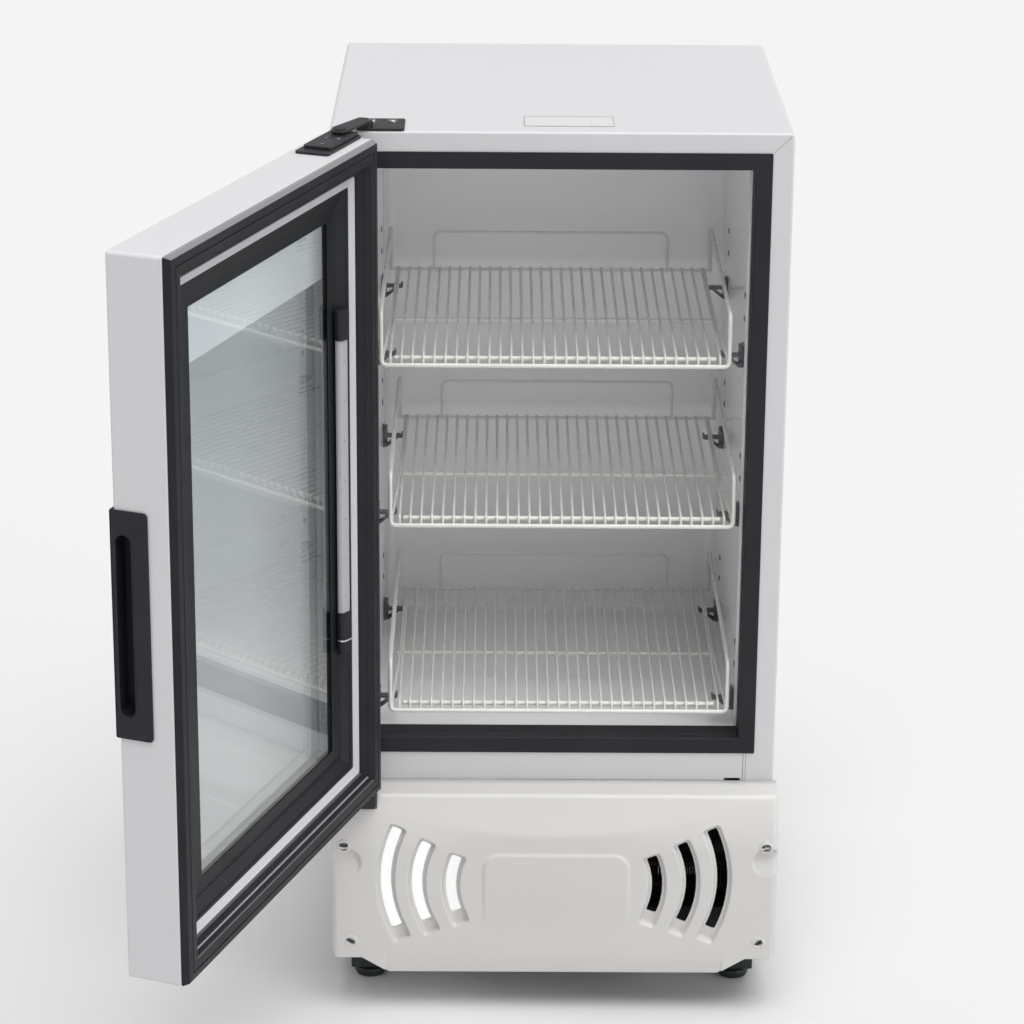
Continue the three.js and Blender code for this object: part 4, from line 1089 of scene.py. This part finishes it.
b.add(lathe(fillet([(0, 933.6), (5, 933.6), (5, 940.4), (0, 940.4)], 0.3, 2), 32, "Z", (AX, AY, 0)), 1)
for px, py in ((-196.4, FY + 32.5), (-175, FY + 32.5)):
    b.add(screw(5.0, 2.6, at=(px, py, z0 + 2.4), turn=px), 2)
b.make("upper_hinge", ["dark_steel", "black", "screw"], "cabinet", ["top_hinge_bracket"], smooth=35)

b = Build()
b.add(prism(fillet([(-238, FY - 0.4), (-196, FY - 0.4), (-196, AY + 16), (-212, AY - 9.6), (-234, AY - 9.6), (-238, AY - 4)], [1, 1, 8, 8, 6, 6], 5), 198.2, 203, "Z", 0.8, 2, 60), 0)
b.add(prism(rounded_rect(-238, -196, 189.2, 203, 2), FY - 3.4, FY - 0.4, "Y", 0.6, 2, 60), 0)
b.add(prism(fillet([(-237.5, 189.4), (-194.6, 189.4), (-194.6, 202.9), (-237.5, 202.9)], [5, 1, 1, 3], 4), AY - 9.8, AY - 7.2, "Y", 0.6, 2, 60), 0)
b.add(lathe(fillet([(0, 200), (5, 200), (5, 207), (0, 207)], 0.4, 2), 32, "Z", (AX, AY, 0)), 1)
b.make("lower_hinge", ["dark_steel", "black"], "cabinet", ["bottom_hinge_bracket"], smooth=35)

# ------------------------------------------------------------------ door (laid out closed, then swung open)
def dr(pts):
    return [(m, FY + y) for m, y in pts]


sec = fillet(dr([(0, -68), (0, -11.3), (25.7, -11.3), (25.7, -20), (38.1, -20), (38.1, -49.9), (62, -49.9), (62, -52), (44, -68)]),
             [3.2, 0.8, 0.4, 0.4, 0.4, 0.4, 0.4, 1.2, 3.5], 5)
vf = rring(sec, -H, H, DZ0, DZ1, r0=4.0, seg=8)
vf = boolean(vf, [cuboid(220.7, 243, FY - 66.8, FY - 45.2, 478.2, 666.8)])
b = Build()
b.add(vf)
b.make("door_skin", ["paint"], "door", ["door_frame"], door=True, smooth=35)

sec = fillet(dr([(42, -19.9), (44.5, -20.7), (45.2, -22.6), (47.2, -23.3), (58.5, -26.9), (59.2, -28.6), (61.2, -29.2), (72.7, -30.0), (72.7, -30.8), (49.6, -30.8), (49.6, -49.6), (38.4, -49.6), (38.4, -22.3), (42, -22.3)]),
             [0.3, 0.5, 0.4, 0.5, 0.5, 0.4, 0.5, 0.3, 0.2, 0.2, 0.3, 0.3, 0.3, 0.3], 3)
b = Build()
b.add(rring(sec, -H, H, DZ0, DZ1, r0=46.0, seg=8, rmin=1.2, free=lambda m: 16.0 * max(0.0, min(1.0, (m - 50.0) / 22.7))))
b.make("stepped_frame", ["black"], "door", ["door_inner_frame"], door=True, smooth=30)

sec = fillet(dr([(1, -11), (1, -9.4), (3.6, -3.7), (10.8, -3.0), (11.8, -4.6), (12.8, -3.0), (20.8, -3.2), (22.0, -5.6), (23.2, -5.2), (25.6, -8.6), (26.4, -10.6), (27.6, -10.2), (30.6, -14.6), (31.9, -16.9), (26, -16.9), (26, -11)]),
             [0.4, 0.5, 0.5, 0.5, 0.4, 0.5, 0.9, 0.4, 0.6, 0.6, 0.4, 0.6, 0.6, 0.3, 0.3, 0.4], 3)
b = Build()
b.add(rring(sec, -H, H, DZ0, DZ1, r0=2.6, seg=8, groove=[i for i, p in enumerate(sec) if p[1] > FY - 6], gd=-0.9))
b.make("door_seal", ["rubber"], "door", ["door_gasket"], door=True, smooth=35)

sec = fillet(dr([(32.3, -17), (33.2, -16.4), (34.2, -17.3), (41.7, -19.6), (41.7, -22), (38.4, -22), (38.4, -19.7), (32.3, -19.7)]), [0.2, 0.3, 0.2, 0.3, 0.2, 0.2, 0.2, 0.2], 3)
b = Build()
b.add(rring(sec, -H, H, DZ0, DZ1, r0=36.0, seg=8, rmin=1.0))
b.make("pale_surround", ["trim"], "door", ["door_trim_strip"], door=True, smooth=35)


def pane(name, node, y0, y1):
    q = Build()
    v, f = rring(fillet([(50, FY + y0), (50, FY + y1), (50.6, FY + y1 - 0.0), (50.6, FY + y0)], 0, 1), -H, H, DZ0, DZ1, r0=52.0, seg=4, rmin=1.0)
    plate = prism(rounded_rect(-H + 50.6, H - 50.6, DZ0 + 50.6, DZ1 - 50.6, 1.4), FY + y0, FY + y1, "Y")
    q.add(plate, 0)
    q.m = [0 if len(fc) > 6 else 1 for fc in q.f]
    q.make(name, ["glass", "edge"], "door", [node], door=True, smooth=30, weighted=False)


pane("inner_pane", "inner_glass", -35, -31)
pane("outer_pane", "outer_glass", -49.6, -45.6)
b = Build()
b.add(rring(fillet(dr([(62, -35.3), (62, -45.3), (73.5, -45.3), (73.5, -42.2), (72.9, -41.6), (72.9, -39.0), (73.5, -38.4), (73.5, -35.3)]), 0.3, 2), -H, H, DZ0, DZ1, r0=63.0, seg=6, rmin=1.5))
b.make("pane_spacer", ["alu"], "door", ["glass_spacer"], door=True, smooth=35)
# header panel; its glow is painted light, it is no lamp
b = Build()
b.add(prism(rounded_rect(-H + 74, H - 74, DZ1 - 131, DZ1 - 74, 1.5), FY - 37.3, FY - 35.4, "Y", 0.3, 2, 60))
b.make("header_blank", ["panel"], "door", ["header_panel"], door=True)

# light strip on the hinge-side slope
ux, uy, nx, ny = 0.9508, -0.3097, 0.3097, 0.9508


def on_slope(s_, n_):
    return (-H + 42 + ux * s_ + nx * n_, FY - 19.9 + uy * s_ + ny * n_)


def slope_prism(pts, z0_, z1_, r=0.0, seg=2, angle=40):
    return prism([on_slope(*p) for p in pts], z0_, z1_, "Z", r, seg, angle)


b = Build()
b.add(slope_prism(fillet([(7.5, 0.6), (22.5, 0.6), (22.5, 3.0), (20.6, 6.2), (9.4, 6.2), (7.5, 3.0)], [0.3, 0.3, 2, 3, 3, 2], 5), 434.8, 732.6), 0)
for k in range(7):
    zc = 452 + k * 43.0
    c = [(15 + 0.9 * math.cos(a), zc + 0.9 * math.sin(a)) for a in (2 * math.pi * i / 12 for i in range(12))]
    vs_ = [(*on_slope(s_, 6.15), zz) for s_, zz in c] + [(*on_slope(s_, 6.34), zz) for s_, zz in c]
    fs_ = [list(range(12)), [12 + i for i in range(12)][::-1]] + [[i, (i + 1) % 12, 12 + (i + 1) % 12, 12 + i] for i in range(12)]
    b.add((vs_, fs_), 1)
b.make("light_bar", ["led", "dot"], "door", ["led_strip"], door=True, smooth=35)
for nm, node, za, zb, ring_z in (("light_cap_upper", "led_cap_top", 733, 766, None), ("light_cap_lower", "led_cap_bottom", 388, 434.4, 403)):
    b = Build()
    b.add(slope_prism(fillet([(6.5, 0.6), (23.5, 0.6), (23.5, 5.0), (20.8, 8.3), (9.2, 8.3), (6.5, 5.0)], [0.3, 0.3, 2, 3, 3, 2], 4), za, zb, 0.9, 2, 50), 0)
    if ring_z:
        b.add(slope_prism(fillet([(6.3, 0.6), (23.7, 0.6), (23.7, 5.1), (20.9, 8.55), (9.1, 8.55), (6.3, 5.1)], [0.3, 0.3, 2, 3, 3, 2], 4), ring_z, ring_z + 1.6), 1)
    b.make(nm, ["black", "alu"] if ring_z else ["black"], "door", [node], door=True, smooth=35)

# handle wrapped round the free edge
b = Build()
outl = fillet([(FY - 70.6, 459), (FY - 32, 459), (FY - 32, 686.5), (FY - 70.6, 686.5)], [1.5, 4.5, 4.5, 1.5], 6)
slot = []
for k in range(13):
    a = math.pi * k / 12
    slot.append((FY - 57 + 8.5 * math.cos(a), 655 + 8.5 * math.sin(a)))
for k in range(13):
    a = math.pi + math.pi * k / 12
    slot.append((FY - 57 + 8.5 * math.cos(a), 490 + 8.5 * math.sin(a)))
body_ = bevelled(prism(outl, 240.3, 242.3, "X"), 0.7, 3, 60)
face_ = bevelled(prism(fillet([(210, 459), (242.3, 459), (242.3, 686.5), (210, 686.5)], [5, 1.5, 1.5, 5], 6), FY - 70.6, FY - 68.3, "Y"), 0.7, 3, 60)
cup_ = rbox(221, 241, FY - 66.5, FY - 45.5, 478.5, 666.5, 1.0)
cut = prism(slot, 223.5, 246, "X")
b.add(boolean(body_, [cut]))
b.add(face_)
b.add(boolean(cup_, [cut]))
# rolled lip round the slot
lip = [(242.15, y_, z_) for y_, z_ in slot]
b.add(tube(lip, 0.75, 8, True))
b.make("pull_handle", ["handle"], "door", ["door_handle"], door=True, smooth=35)

hole = lathe([(0, 920), (5.7, 920), (5.7, 950), (0, 950)], 40, "Z", (AX, AY, 0))
b = Build()
b.add(boolean(prism(rounded_rect(-238, -152, FY - 58, FY - 21, 3.5), DZ1 + 0.3, DZ1 + 2.8, "Z", 0.5, 2, 60), [hole]))
b.add(boolean(prism(rounded_rect(-238, -166, FY - 55, FY - 24, 3.5), DZ1 + 2.6, DZ1 + 6.0, "Z", 0.8, 2, 60), [hole]))
for px, py in ((-205, FY - 33), (-205, FY - 47), (-180, FY - 40)):
    b.add(screw(3.9, 1.3, at=(px, py, DZ1 + 5.6), turn=px + py), 1)
b.make("door_plate_upper", ["dark_steel", "screw_dark"], "door", ["door_hinge_plate_top"], door=True, smooth=35)
hole = lathe([(0, 190), (5.7, 190), (5.7, 220), (0, 220)], 40, "Z", (AX, AY, 0))
b = Build()
b.add(boolean(prism(rounded_rect(-238, -152, FY - 58, FY - 22, 3.5), 204.2, 207.2, "Z", 0.6, 2, 60), [hole]))
b.make("door_plate_lower", ["dark_steel"], "door", ["door_hinge_plate_bottom"], door=True, smooth=35)

# ------------------------------------------------------------------ floor, light, camera
me = bpy.data.meshes.new("floor")
me.from_pydata([(-40, -40, -0.0502), (40, -40, -0.0502), (40, 40, -0.0502), (-40, 40, -0.0502)], [], [[0, 1, 2, 3]])
floor = bpy.data.objects.new("floor", me)
bpy.context.scene.collection.objects.link(floor)
me.materials.append(material("floor_pale", (0.664, 0.664, 0.666), 0.75, var=0.004, tone_scale=0.8, grain=60, bump=0.01, spec=0.1))

w = bpy.data.worlds.new("studio")
bpy.context.scene.world = w
w.use_nodes = True
wt = w.node_tree
bg = wt.nodes["Background"]
tc = wt.nodes.new("ShaderNodeTexCoord")
sp = wt.nodes.new("ShaderNodeSeparateXYZ")
wt.links.new(tc.outputs["Generated"], sp.inputs["Vector"])
cr = wt.nodes.new("ShaderNodeValToRGB")
wt.links.new(sp.outputs["Z"], cr.inputs["Fac"])
el = cr.color_ramp.elements
el[0].position, el[0].color = 0.0, (0.88, 0.88, 0.885, 1)
el[1].position, el[1].color = 1.0, (0.95, 0.95, 0.955, 1)
for pos_, c_ in ((0.05, 0.60), (0.10, 0.54), (0.22, 0.35), (0.50, 0.41), (0.75, 0.83)):
    k_ = el.new(pos_)
    k_.color = (c_, c_, c_ * 1.005, 1)
wt.links.new(cr.outputs["Color"], bg.inputs["Color"])
bg.inputs["Strength"].default_value = 1.0


def sun(name, frm, strength, soft):
    l = bpy.data.lights.new(name, "SUN")
    l.energy, l.angle = strength, math.radians(soft)
    o = bpy.data.objects.new(name, l)
    bpy.context.scene.collection.objects.link(o)
    o.rotation_euler = (-Vector(frm)).to_track_quat("-Z", "Y").to_euler()
    return o


sun("top_soft", (0.16, -0.25, 1.0), 2.08, 44)
sun("side_soft", (1.25, -0.95, 0.5), 0.63, 40)

cam = bpy.data.cameras.new("camera")
cam.sensor_width = 36.0
cam.lens = 115.55
cam.shift_x, cam.shift_y = 0.0, -0.109375
cam.clip_start, cam.clip_end = 0.1, 200
co = bpy.data.objects.new("camera", cam)
bpy.context.scene.collection.objects.link(co)
yaw, pitch, roll = 0.0056, 0.3173, 0.0073
fw = Vector((math.sin(yaw) * math.cos(pitch), math.cos(yaw) * math.cos(pitch), -math.sin(pitch)))
rt = Vector((math.cos(yaw), -math.sin(yaw), 0))
up = rt.cross(fw)
r_ = rt * math.cos(roll) + up * math.sin(roll)
u_ = up * math.cos(roll) - rt * math.sin(roll)
co.matrix_world = Matrix(((r_.x, u_.x, -fw.x, -0.0679), (r_.y, u_.y, -fw.y, -3.5101), (r_.z, u_.z, -fw.z, 1.7218), (0, 0, 0, 1)))
bpy.context.scene.camera = co
bpy.context.scene.view_settings.view_transform = "Standard"

bpy.context.view_layer.update()
